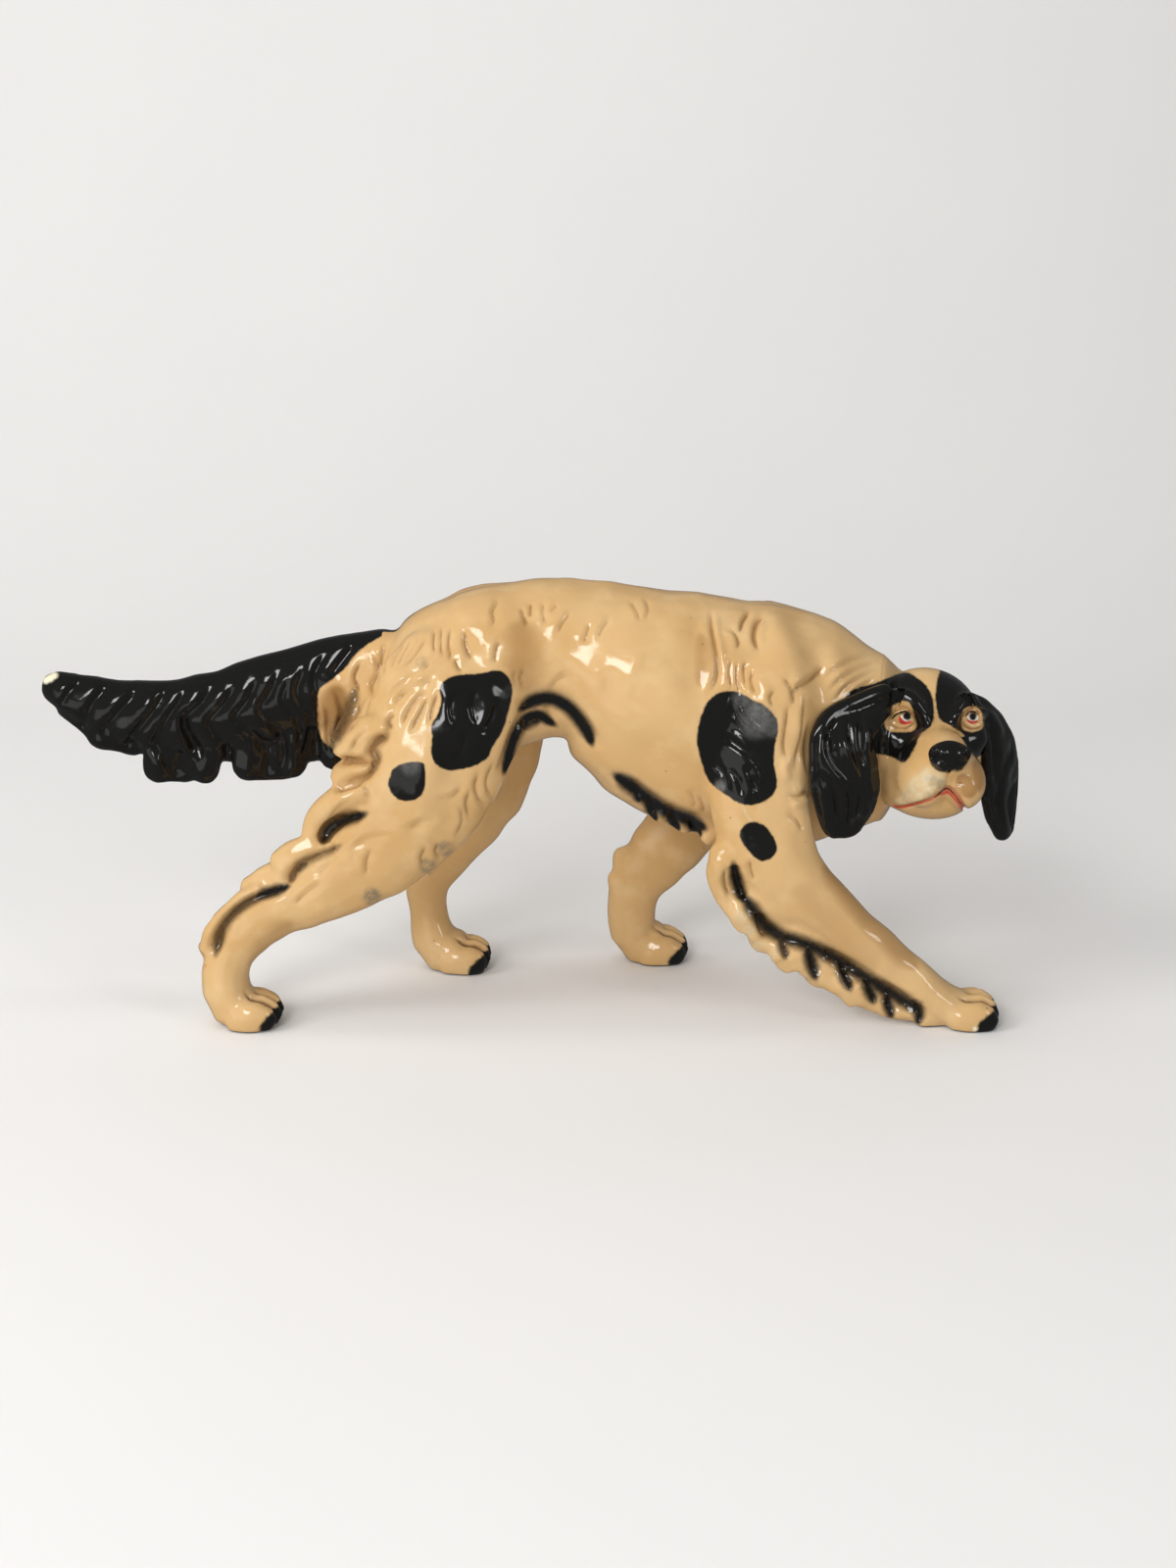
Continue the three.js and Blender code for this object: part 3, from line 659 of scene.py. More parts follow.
TAIL_ROOT_HAIR = [
    (1.6, 1.8, [(366, 714), (358, 734), (352, 750)]),
    (1.6, 1.8, [(326, 714), (333, 734), (331, 757), (338, 776)]),
    (1.6, 1.8, [(338, 700), (346, 724), (342, 748), (347, 768)]),
    (1.6, 1.7, [(355, 696), (361, 712), (351, 731), (348, 752)]),
    (1.5, 1.4, [(368, 672), (360, 691), (368, 712)]),
    (1.5, 1.3, [(379, 662), (384, 684), (377, 701), (382, 720)]),
    (1.4, 1.1, [(392, 654), (387, 676), (390, 694)]),
]
SHOULDER_HAIR = [
    (2.2, 1.8, [(723, 618), (724, 638), (727, 656), (730, 676), (728, 694), (718, 712)]),
    (2.0, -1.5, [(731, 622), (731, 642), (735, 662), (737, 684)]),
    (1.5, 1.2, [(737, 640), (747, 645), (752, 655), (750, 664)]),
    (1.5, 1.4, [(764, 622), (756, 635), (754, 647)]),
    (1.7, 1.9, [(784, 623), (771, 633), (767, 648), (770, 660), (775, 667)]),
    (1.6, -1.1, [(782, 632), (776, 646), (777, 664)]),
    (1.3, 1.1, [(744, 670), (743, 688), (746, 706)]),
    (1.2, 1.1, [(751, 672), (750, 690), (753, 710)]),
    (1.3, 1.2, [(760, 672), (757, 686), (761, 706)]),
    (1.5, 1.3, [(768, 680), (764, 694), (770, 712)]),
    (1.5, 1.1, [(790, 702), (784, 712), (788, 724)]),
    (1.8, 1.6, [(796, 690), (806, 704), (809, 722)]),
    (2.0, 2.2, [(806, 710), (815, 699), (829, 690), (840, 676)]),
    (1.4, 1.0, [(905, 668), (872, 672), (850, 682), (838, 696)]),
    (1.4, 1.1, [(905, 676), (876, 682), (856, 692), (842, 708)]),
    (1.3, 1.1, [(900, 684), (878, 690), (862, 700), (848, 716)]),
    (1.3, 1.0, [(896, 694), (882, 698), (866, 708)]),
    (1.9, 1.6, [(821, 706), (819, 730), (817, 750), (811, 772), (809, 790)]),
    (1.6, 1.2, [(803, 716), (800, 742), (798, 762), (802, 782)]),
    (1.6, 1.1, [(827, 730), (822, 756), (821, 776), (825, 796)]),
    (2.2, -1.4, [(806, 770), (801, 784), (806, 798)]),
    (2.4, -1.6, [(806, 822), (815, 819), (827, 812)]),
    (1.8, 1.4, [(802, 812), (814, 811), (826, 802)]),
    (1.7, 1.2, [(800, 832), (812, 838), (818, 850)]),
    (1.6, 1.4, [(745, 706), (746, 724), (756, 740), (776, 754), (790, 762)]),
    (1.5, 1.3, [(755, 708), (757, 724), (768, 738), (786, 748)]),
    (1.6, -1.2, [(742, 744), (754, 753), (768, 766)]),
    (1.6, 1.3, [(734, 742), (742, 756), (758, 768), (770, 780), (780, 794)]),
    (1.6, -1.1, [(766, 785), (774, 796), (777, 806)]),
    (1.5, 1.2, [(758, 780), (766, 796), (770, 814)]),
    (1.5, 1.2, [(742, 784), (752, 798), (756, 814)]),
    (1.5, 1.0, [(724, 776), (736, 790), (742, 806)]),
    (1.5, 0.8, [(700, 806), (706, 816), (708, 826)]),
    (1.5, 0.8, [(710, 812), (715, 822), (716, 832)]),
    (1.6, 0.8, [(655, 608), (660, 622), (654, 634)]),
    (1.6, 0.8, [(640, 612), (648, 624), (652, 636)]),
]
LEG_HAIR = [
    (2.2, 0.8, [(800, 936), (836, 958), (860, 976)]),
    (2.2, 0.7, [(816, 924), (856, 954), (884, 980)]),
    (2.4, 3.0, [(770, 930), (773, 944), (780, 960)]),
    (2.4, 3.0, [(796, 956), (798, 968), (802, 982)]),
    (2.4, 3.2, [(826, 966), (826, 982), (832, 1000)]),
    (2.4, 3.0, [(857, 982), (860, 995), (868, 1011)]),
    (2.4, 3.0, [(884, 998), (886, 1010), (893, 1025)]),
    (2.2, 2.8, [(907, 1013), (905, 1026), (910, 1039)]),
    (2.2, 2.4, [(932, 1026), (937, 1034), (934, 1044)]),
    (1.8, 2.0, [(741, 884), (737, 898), (744, 918)]),
    (1.8, 1.4, [(762, 876), (764, 890), (768, 902)]),
    (2.0, 1.8, [(640, 798), (646, 806), (652, 816)]),
    (2.0, 1.8, [(655, 810), (661, 820), (666, 836)]),
    (2.0, 1.8, [(676, 822), (684, 832), (690, 846)]),
    (2.0, 1.8, [(697, 832), (704, 842), (710, 853)]),
]
TAIL_HAIR = [
    (1.8, 1.6, [(82, 692), (68, 706), (60, 720)]),
    (2.4, 2.1, [(108, 697), (94, 714), (84, 732), (84, 744)]),
    (2.6, 2.3, [(140, 701), (126, 717), (108, 738), (100, 754)]),
    (2.6, 2.8, [(168, 700), (156, 722), (138, 744), (128, 760), (133, 772)]),
    (2.4, 2.5, [(190, 700), (176, 722), (163, 741), (156, 760), (168, 780), (178, 796)]),
    (1.8, 1.7, [(186, 720), (184, 736), (192, 754), (199, 776)]),
    (2.6, 2.5, [(216, 697), (202, 717), (186, 733), (187, 750), (200, 768), (204, 786)]),
    (2.4, 2.4, [(240, 696), (226, 718), (212, 734), (217, 750), (229, 764), (232, 780)]),
    (2.4, 2.3, [(262, 690), (250, 714), (238, 731), (248, 745), (262, 757), (270, 770)]),
    (2.6, 2.5, [(284, 682), (273, 706), (264, 722), (272, 737), (284, 752), (286, 772), (282, 796)]),
    (1.8, 1.7, [(294, 690), (286, 714), (298, 730), (304, 748), (300, 770)]),
    (2.4, 2.4, [(312, 676), (300, 702), (304, 718), (314, 734), (312, 756), (304, 780)]),
    (2.2, 2.0, [(332, 664), (318, 688), (320, 712), (324, 734), (320, 757), (324, 780)]),
    (2.2, 1.8, [(360, 656), (346, 674), (334, 690)]),
]


HAIR_LEAN = 0.6
TAIL_LEAN = 0.5

# The lowest hair and spray on the far flank, whose legs are plain
FAR_HAIR_LOW = 100
FAR_SPRAY_LOW = 104

# The grooves between the toes, and how far they reach from a paw's middle
TOES_LONG, TOES_WIDE, TOES_HIGH = 26, 20, 26
TOE_GAP = 7.2
TOE_GROOVE_WIDE = 1.25
TOE_GROOVE_DEEP = 2.3


def draw(shape, strokes, where, lean=0.0, taper=0.3):
    """Presses strokes into both flanks alike, less where the clay turns away."""
    grip = smooth_step(0, 0.4, shape.flank_facing)
    for width, depth, line in strokes:
        relief = depth * grip * tooled(shape.flank_px, line, width, where, lean if depth > 0 else 0, taper)
        shape.at += shape.normal * relief[:, None]


def toe_lines(shape):
    """Where the grooves between the four toes of each paw lie, from 0 to 1."""
    press = np.zeros(len(shape.at))
    for x, y in PAW_MIDDLES:
        ahead, aside, up = (shape.at - (x, y, 0)).T
        near = (np.abs(ahead) < TOES_LONG) & (np.abs(aside) < TOES_WIDE) & (up < TOES_HIGH)
        for place in (-TOE_GAP, 0.0, TOE_GAP):
            start = 0 if place == 0 else -5
            line = np.exp(-((aside - place) / TOE_GROOVE_WIDE) ** 2) * smooth_step(start, start + 8, ahead)
            press = np.maximum(press, line * smooth_step(25, 15, up) * near)
    return press


def ripple(shape, where):
    """The slight unevenness of a hand-worked surface."""
    x, y, z = shape.at.T
    wave = np.sin(0.13 * x + 0.09 * z + 0.5 * np.sin(0.11 * z))
    wave *= np.sin(0.15 * z - 0.07 * x + 1 + np.sin(0.09 * x))
    comb = np.sin(0.27 * x + 0.12 * z + 1.4 * np.sin(0.07 * z + 0.03 * x))
    comb *= np.sin(0.08 * z + 0.05 * x + 2)
    shape.at += shape.normal * ((0.55 * wave + 0.28 * comb) * where)[:, None]


above_far_legs = (shape.at[:, 1] < 0) | (shape.at[:, 2] > FAR_HAIR_LOW)
coat = ~is_head & (shape.flank_facing > 0.02) & above_far_legs
is_tail = away.argmin(1) == CLAY_CASTS.index("tail")
ripple(shape, ~is_head)
draw(shape, BODY_FORMS, coat & ~is_tail, taper=0)
draw(shape, FOLDS, coat & ~is_tail, taper=0.15)
shape.store()
for strokes in (BACK_HAIR, THIGH_HAIR, SHOULDER_HAIR, LEG_HAIR):
    draw(shape, strokes, coat & ~is_tail, HAIR_LEAN)
draw(shape, TAIL_ROOT_HAIR, coat & (shape.at[:, 2] > FAR_HAIR_LOW), HAIR_LEAN)
draw(shape, TAIL_HAIR, is_tail, TAIL_LEAN, taper=0.2)
toes = toe_lines(shape)
shape.at -= shape.normal * (TOE_GROOVE_DEEP * toes)[:, None]

MOUTH = [(909, 819), (914, 823), (923, 823), (935, 820), (946, 817), (954, 813), (962, 807), (967, 804),
         (972, 807), (978, 814), (983, 823), (987, 829), (991, 831)]
UPPER_LIPS = [[(909, 814), (923, 818), (944, 812), (958, 802)], [(974, 800), (984, 812), (992, 824)]]
MOUTH_DEEP = 1.5
LIP_FULL = 0.7
mouth_press = brush(shape.px, MOUTH, 1.5, on_face, taper=0.1)
shape.at -= shape.normal * (MOUTH_DEEP * mouth_press)[:, None]
for lip in UPPER_LIPS:
    shape.at += shape.normal * (LIP_FULL * brush(shape.px, lip, 3.0, on_face))[:, None]
shape.at[:, 2] = np.maximum(shape.at[:, 2], 0)
shape.store()


# The ears, modelled apart: strands as half width and depth in millimetres and as pixels

RIGHT_EAR_STRANDS = [
    (2.2, -1.6, [(885, 722), (883.5, 736), (884, 750), (886.5, 772)]),
    (2.2, 2.1, [(879, 724), (876, 740), (876, 756), (880, 775), (886, 792)]),
    (1.9, -1.4, [(857, 745), (861, 757), (866, 774), (872, 789)]),
    (2.2, 2.2, [(864, 728), (866, 752), (871, 770), (878, 790), (884, 804)]),
    (1.9, -1.3, [(846, 744), (849, 754), (853, 767)]),
    (2.3, 2.5, [(853, 733), (843, 755), (845, 773), (857, 789), (878, 803)]),
    (2.3, 2.2, [(838, 738), (829, 765), (830, 785), (836, 800), (842, 815)]),
    (2.2, 2.2, [(844, 790), (850, 812), (853, 830), (858, 855)]),
    (2.2, 2.1, [(860, 796), (866, 815), (866, 832), (862, 852)]),
    (1.9, 1.8, [(876, 806), (876, 822), (871, 840)]),
    (2.2, -1.3, [(836, 800), (838, 812), (841, 826), (846, 842)]),
    (1.9, 1.7, [(826, 788), (832, 812), (840, 838)]),
]
LEFT_EAR_STRANDS = [
    (1.9, -1.3, [(1006, 722), (1014, 733), (1020, 745), (1022, 756)]),
    (2.2, 2.2, [(1004, 730), (1011, 745), (1014, 762), (1014, 785), (1012, 805)]),
    (2.2, 2.2, [(1031, 746), (1031, 765), (1024, 784), (1021, 798), (1017, 820), (1021, 842)]),
    (1.9, -1.3, [(1034, 757), (1033, 775), (1027, 792), (1024, 806)]),
    (1.9, 2.0, [(1041, 788), (1032, 808), (1029, 822), (1032, 842), (1033, 854)]),
    (1.8, 1.7, [(1008, 800), (1010, 822), (1017, 842)]),
]

# The thick back and upper edge of the right ear, in the figure's millimetres, and the locks behind both ears
EAR_EDGE_THICK = 4.4
EAR_LOCK_WIDE = 5.2
EAR_LOCK_DEEP = 1.4
EAR_EDGE = [(151.5, -43, 100), (147, -45, 104), (143.6, -47, 115.5), (141.4, -48, 128), (140.4, -47, 140),
            (141, -44, 149), (143.7, -41, 155.5), (149.2, -37.5, 159.5), (158, -33.5, 162.6),
            (167.7, -29, 165.4), (176, -24, 166.8)]


def ear(cast_name, strands):
    """An ear with strands drawn on the side that the camera sees, and wavy locks on the other."""
    piece = copy_of([cast_name], cast_name + "_painted")
    if cast_name == "ear_right":
        add_clay(piece, EAR_EDGE, EAR_EDGE_THICK)
    finish_with(piece, "REMESH", mode="VOXEL", voxel_size=EAR_VOXEL)
    finish_with(piece, "SMOOTH", factor=0.5, iterations=EAR_SMOOTHING)
    flap = Surface(piece)
    front = flap.facing > 0.02
    for width, depth, line in strands:
        relief = depth * tooled(flap.px, line, width, front, TAIL_LEAN if depth > 0 else 0)
        flap.at += flap.normal * relief[:, None]
    x, y, z = flap.at.T
    run = (x + 0.6 * y + 2.6 * np.sin(0.16 * z) + 1.2 * np.sin(0.37 * z + 1)) / EAR_LOCK_WIDE
    lock = np.abs(2 * (run % 1) - 1)
    behind = smooth_step(0.02, -0.2, flap.facing)
    flap.at -= flap.normal * (EAR_LOCK_DEEP * behind * lock**3)[:, None]
    flap.store()
    return piece


# The paint's edges, as outlines in pixels of the photograph

HIP_PATCH = [(449, 700), (462, 690), (490, 687), (508, 684), (518, 690), (523, 703), (520, 722), (513, 745),
             (503, 762), (497, 774), (480, 783), (458, 786), (445, 780), (440, 768), (441, 752), (440, 740),
             (447, 728), (450, 713)]
THIGH_SPOT = [(398, 792), (402, 784), (412, 779), (425, 777), (433, 780), (434, 795), (432, 808), (424, 816),
              (410, 817), (400, 810), (396, 800)]
SHOULDER_PATCH = [(714, 735), (723, 715), (737, 706), (752, 706), (768, 714), (783, 722), (794, 738),
                  (791, 760), (790, 780), (793, 798), (788, 812), (772, 821), (755, 820), (742, 812),
                  (732, 805), (722, 795), (715, 775), (711, 755)]
LEG_SPOT = [(757, 845), (765, 839), (778, 841), (788, 852), (793, 865), (788, 875), (778, 879), (768, 873),
            (759, 862), (755, 853)]
TAIL_EDGE = [(415, 637), (388, 650), (367, 664), (352, 682), (338, 694), (326, 704), (324, 722), (325, 742),
             (330, 756), (340, 764), (348, 768), (348, 800), (332, 810), (-60, 810), (-60, 560), (300, 560),
             (420, 600)]
MASK_RIGHT = [(926, 686), (935, 691), (943, 697), (950, 707), (952.5, 716), (953, 730), (951, 739),
              (946, 744.5), (940.5, 748.5), (937, 754), (934, 762), (927, 774), (921.5, 778), (917.5, 776.5),
              (911, 773), (900, 770), (885, 766), (860, 745), (862, 712), (876, 702), (890, 698), (903, 693),
              (915, 688)]
MASK_LEFT = [(958.5, 687), (955.5, 699), (954.5, 713), (956, 724), (959, 734), (967, 739), (976, 744.5),
             (982, 748.5), (987, 758), (993, 767), (998, 775), (1002, 782), (1060, 790), (1060, 670),
             (970, 670)]
EYE_OVAL_RIGHT = [(924, 715.5), (916, 717), (907, 724), (902.5, 735), (904, 743), (909.5, 746.5),
                  (921.5, 747), (932, 745.5), (935, 740), (933, 732), (931, 723), (928, 717.5)]
EYE_OVAL_LEFT = [(984.5, 723), (994, 721), (1000.5, 725.5), (1003, 735), (1002, 743), (994, 746.5),
                 (984.5, 745.5), (981, 740), (982, 731)]
NOSE_BLACK = [(951, 766), (954, 760), (962, 756), (971, 756), (981, 760), (987, 767), (989, 774), (985, 781),
              (978, 785), (968, 786), (959, 783), (952, 778), (948, 772)]
EYE_WHITES = [[(919.5, 730), (921, 733.7), (924, 736), (928, 735), (929.3, 733), (925, 729)],
              [(987, 731), (989, 735), (993, 736), (997, 734.5), (998, 731), (993, 729)]]
EYE_REDS = [[(917.6, 731), (917, 735), (920, 739), (928, 738.6), (930.3, 735.7), (924, 736.4),
             (920.4, 733.5)],
            [(986.4, 735), (991, 738.6), (997.3, 737), (997, 735), (992, 736), (987.4, 734)]]
IRISES = [(925.6, 730.6, 4.2), (993, 731, 4.0)]
LID_LINES = [[(909, 735.5), (913.6, 729.7), (919, 727), (925.6, 726.3), (930.5, 730)],
             [(984.6, 732), (988.6, 727), (994, 726.3), (999.3, 729.7)]]
WORN_LIP = [(926, 800), (935, 790), (948, 783), (960, 788), (965, 800), (955, 809), (940, 817), (925, 821),
            (915, 819), (919, 810)]

# Soft black, sprayed along edges and in folds: half width in millimetres, strength and pixels
SPRAY_FADE_PX = 24
AIRBRUSH = [
    (6.4, 1.0, [(526, 730), (536, 720), (548, 714), (563, 713), (579, 721), (591, 734), (600, 748),
                (606, 766)]),
    (5.5, 1.0, [(572, 743), (562, 737), (550, 730), (538, 733), (528, 746), (522, 761), (518, 777),
                (512, 795)]),
    (5.1, 0.8, [(528, 748), (540, 738), (556, 734)]),
    (7.4, 0.95, [(622, 787), (646, 804), (666, 819), (684, 830), (701, 836), (726, 849)]),
    (5.0, 0.9, [(640, 796), (648, 808), (654, 822)]),
    (6.0, 1.0, [(656, 808), (664, 824), (670, 842)]),
    (6.0, 1.0, [(678, 822), (686, 836), (694, 851)]),
    (6.0, 1.0, [(698, 832), (707, 842), (716, 857)]),
    (6.2, 0.9, [(747, 874), (751, 896), (757, 914), (766, 928)]),
    (7.2, 0.85, [(754, 908), (766, 925), (780, 943), (797, 955), (815, 961), (830, 967), (848, 976),
                 (868, 988), (890, 1002), (910, 1014), (928, 1025), (940, 1040)]),
    (5.6, 0.7, [(794, 950), (798, 964), (803, 982)]),
    (6.6, 0.85, [(822, 958), (827, 980), (834, 1005)]),
    (6.6, 0.85, [(853, 974), (861, 994), (870, 1015)]),
    (6.6, 0.85, [(879, 990), (886, 1008), (894, 1028)]),
    (6.0, 0.85, [(903, 1004), (906, 1024), (911, 1043)]),
    (6.0, 0.85, [(926, 1016), (937, 1032), (936, 1049)]),
    (6.3, 0.85, [(380, 827), (368, 832), (351, 837), (336, 847), (326, 866)]),
    (4.6, 0.5, [(354, 858), (340, 867), (321, 876), (306, 885), (292, 906)]),
    (3.9, 0.7, [(316, 880), (308, 884), (302, 892)]),
    (5.4, 0.9, [(300, 902), (286, 907), (270, 912), (256, 920)]),
    (5.4, 0.62, [(276, 910), (252, 921), (236, 935), (226, 952), (218, 982)]),
    (4.1, 0.4, [(382, 758), (386, 774), (374, 794)]),
    (4.1, 0.35, [(400, 746), (386, 757), (380, 768)]),
    (7.2, 0.6, [(366, 696), (354, 728), (343, 750), (334, 772)]),
]

# Thin brown glazing let into the hollows, and painted shade on slopes and recesses turned from the light: half
# width in millimetres, strength and pixels
GLAZE_AND_SHADE_STROKES = [
    (14, 0.9, [(344, 694), (342, 726), (344, 760)]),
    (9, 0.4, [(390, 740), (380, 766), (372, 794)]),
    (20, 0.5, [(524, 628), (533, 664), (536, 712)]),
    (20, 0.2, [(690, 634), (696, 680), (688, 730)]),
    (20, 0.34, [(806, 900), (846, 946), (900, 992)]),
    (8, 0.5, [(714, 640), (717, 672), (712, 706)]),
    (8, 0.4, [(826, 706), (825, 744), (817, 780)]),
    (10, 0.55, [(838, 876), (864, 916), (900, 956), (940, 992)]),
    (10, 0.5, [(520, 796), (504, 836), (474, 872)]),
    (10, 0.45, [(304, 936), (270, 964), (258, 1000)]),
]

# Spots where the paint is worn or chipped, and grey on the black that is partly worn gloss and partly a painted
# sheen: pixel, size in millimetres, strength
CHIPS = [(47, 694, 2.4, 1.0), (55, 689, 2.6, 1.0), (51, 692, 2.6, 1.0), (995, 1050, 1.6, 1.0)]
WORN_SPOTS = [(756, 936, 5.0, 0.6), (764, 950, 5.0, 0.6), (776, 966, 5.0, 0.5), (790, 972, 4.0, 0.4)]
SMUDGES = [(380, 915, 6.0, 0.9), (454, 866, 5.6, 0.7), (436, 884, 5.6, 0.7), (430, 676, 4.0, 0.4),
           (950, 796, 4.0, 0.4), (946, 811, 3.0, 0.4), (960, 800, 3.4, 0.5)]
# Grey on the black patches: partly worn gloss, partly a painted sheen
RUBBED_AND_SHEEN_SPOTS = [(778, 722, 9, 0.9), (772, 736, 11, 0.7), (788, 740, 8, 0.6), (758, 712, 7, 0.5),
                (735, 802, 4, 0.9), (418, 780, 7, 0.5)]
CRACK = [(758, 815), (760, 828), (769, 841)]
RUST_SPOTS = [(205, 976, 2.6, 0.8), (208, 986, 1.8, 0.8), (742, 692, 1.6, 0.5), (754, 694, 1.4, 0.5)]
FACE_SPOTS = [(962, 773, 0.9, 1.0)]
# Brown glazing and painted shade on the right of the muzzle, below the nose: half width in millimetres,
# strength and pixels
FACE_GLAZE_AND_SHADE_STROKES = [
    (9, 1.0, [(976, 790), (986, 801), (993, 816)]),
    (6, 0.8, [(996, 770), (998, 790), (998, 812)]),
]
LIP_LINE = [(948, 816.5), (957, 811), (966, 804.5), (974, 811), (981, 821), (987, 829)]
LOWER_LIP = [(958, 812), (967, 808), (975, 815), (983, 826), (990, 832)]
MOULD_SEAM = [(538, 766), (522, 784), (511, 800), (503, 818), (494, 836), (472, 861), (441, 892)]


def spots_on(spots, marks, where):
    """Soft round marks, from 0 to 1."""
    shade = np.zeros(len(spots))
    for x, y, size, strength in marks:
        away = np.linalg.norm(spots - (x, y), axis=1) / PX_PER_MM
        shade = np.maximum(shade, strength * where * smooth_step(size, size * 0.4, away))
    return shade


# The black of the tail runs onto the rump, and up the middle of the back to a point
PATCH_LOW = 40
RUMP_FROM = -72
RUMP_LOW = 108
RUMP_WIDE = 31
WEDGE_POINT = -55
WEDGE_BACK = -110
WEDGE_LOW = 150
WEDGE_RIGHT = -3

# The black of the claws: how far ahead of a paw's middle and how high it lies, and how far it reaches
CLAWS_AHEAD, CLAWS_UP = 19, 1
CLAWS_LONG, CLAWS_HIGH = 14, 10.5
PAW_LONG, PAW_WIDE = 24, 19

# Where the right mask's black runs onto the neck, and where the black at the ears' roots ends
NECK_FROM, NECK_LOW = 150, 118
EAR_ROOT_WIDE, EAR_ROOT_HIGH, EAR_ROOT_FRONT = 15, 22, 2

# The lower edge of the left mask that is drawn as seen, how far back the nose's black reaches, and its rim
MASK_LEFT_LOW = 6
NOSE_BACK = 51
NOSE_RIM = 0.9


def body_black(shape, is_head, is_tail):
    """How far each point lies inside the black of the body, in millimetres."""
    px = shape.flank_px
    x, y, up = shape.at.T
    aside = np.abs(y)
    body = ~is_head & (shape.flank_facing > -0.15) & (up > PATCH_LOW)
    black = np.full(len(px), OUTSIDE)
    for outline in (HIP_PATCH, SHOULDER_PATCH):
        black = np.maximum(black, inside(px, outline, body))
    for outline in (THIGH_SPOT, LEG_SPOT):
        black = np.maximum(black, inside(px, outline, body & (y < 0)))
    rump = (x < RUMP_FROM) & (up > RUMP_LOW) & (aside < RUMP_WIDE)
    black = np.maximum(black, inside(px, TAIL_EDGE, is_tail | rump))
    on_wedge = (x > WEDGE_BACK) & (up > WEDGE_LOW) & (y > WEDGE_RIGHT)
    black = np.maximum(black, np.where(on_wedge, 0.5 * (WEDGE_POINT - x) - aside, OUTSIDE))
    for middle in PAW_MIDDLES:
        ahead, across, rise = (shape.at - (*middle, 0)).T
        claws = 8 * (1 - np.hypot((ahead - CLAWS_AHEAD) / CLAWS_LONG, (rise - CLAWS_UP) / CLAWS_HIGH))
        on_paw = (np.abs(ahead) < PAW_LONG) & (np.abs(across) < PAW_WIDE)
        black = np.maximum(black, np.where(on_paw, claws, OUTSIDE))
    return black


def face_black(shape, is_head, on_face):
    """How far each point lies inside the black of the face, in millimetres.
    What the camera doesn't see of the left cheek is painted as the right one is."""
    px = shape.px
    ahead, left, up = shape.head.T
    on_neck = (shape.at[:, 0] > NECK_FROM) & (shape.at[:, 2] > NECK_LOW) & (shape.facing > 0)
    drawn = (shape.facing > SEEN) & (up > MASK_LEFT_LOW)
    hidden = is_head & ~drawn & (left > FACE_MIDDLE)
    turned = in_photo(off_head(shape.head * (1, -1, 1) + (0, 2 * FACE_MIDDLE, -LEFT_LIFT)))
    black = np.maximum(inside(px, MASK_RIGHT, is_head | on_neck), inside(px, MASK_LEFT, is_head & drawn))
    black = np.maximum(black, inside(turned, MASK_RIGHT, hidden))
    ear_roots = np.minimum(np.abs(left) - EAR_ROOT_WIDE, EAR_ROOT_HIGH - up)
    back_of_head = is_head & (ahead < EAR_ROOT_FRONT) & (shape.facing < 0)
    black = np.maximum(black, np.where(back_of_head, ear_roots, OUTSIDE))
    for oval in (EYE_OVAL_RIGHT, EYE_OVAL_LEFT):
        black = np.minimum(black, -inside(px, oval, on_face & (shape.facing > SEEN)))
    black = np.minimum(black, -inside(turned, EYE_OVAL_RIGHT, hidden & (shape.facing < SEEN)))
    black = np.maximum(black, inside(px, NOSE_BLACK, on_face & (ahead > NOSE_BACK)))
    for middle, half, _ in (NOSE, *NOSE_WINGS):
        black = np.maximum(black, np.where(on_face, NOSE_RIM - blob(shape.head, middle, half), OUTSIDE))
    for x, y, size in IRISES:
        iris = (size - np.linalg.norm(px - (x, y), axis=1)) / PX_PER_MM
        black = np.maximum(black, np.where(on_face, iris, OUTSIDE))
    for line in LID_LINES:
        black = np.maximum(black, np.where(brush(px, line, 0.75, on_face) > 0.25, 0.6, OUTSIDE))
    return black


def cover(depth):
    """A crisp edge's cover from a distance in millimetres."""
    return smooth_step(-0.25, 0.25, depth)


def face_colours(shape, on_face):
    """The white of the eyes and the red of the eyes and lips, each from 0 to 1."""
    white = np.zeros(len(shape.px))
    red = 0.85 * np.clip(brush(shape.px, MOUTH, 0.95, on_face, taper=0.1) * 2, 0, 1)
    red = np.maximum(red, 0.9 * np.clip(brush(shape.px, LOWER_LIP, 1.3, on_face, taper=0.2) * 2, 0, 1))
    for outline in EYE_WHITES:
        white = np.maximum(white, cover(inside(shape.px, outline, on_face)))
    for outline in EYE_REDS:
        red = np.maximum(red, cover(inside(shape.px, outline, on_face)))
    return white, red


def sprayed(spots, strokes, where):
    """The strongest of some soft strokes, from 0 to 1."""
    spray = np.zeros(len(spots))
    for width, strength, line in strokes:
        length = np.linalg.norm(np.diff(np.array(line, float), axis=0), axis=1).sum()
        taper = min(SPRAY_FADE_PX / length, 0.4)
        spray = np.maximum(spray, strength * brush(spots, line, width, where, taper))
    return spray


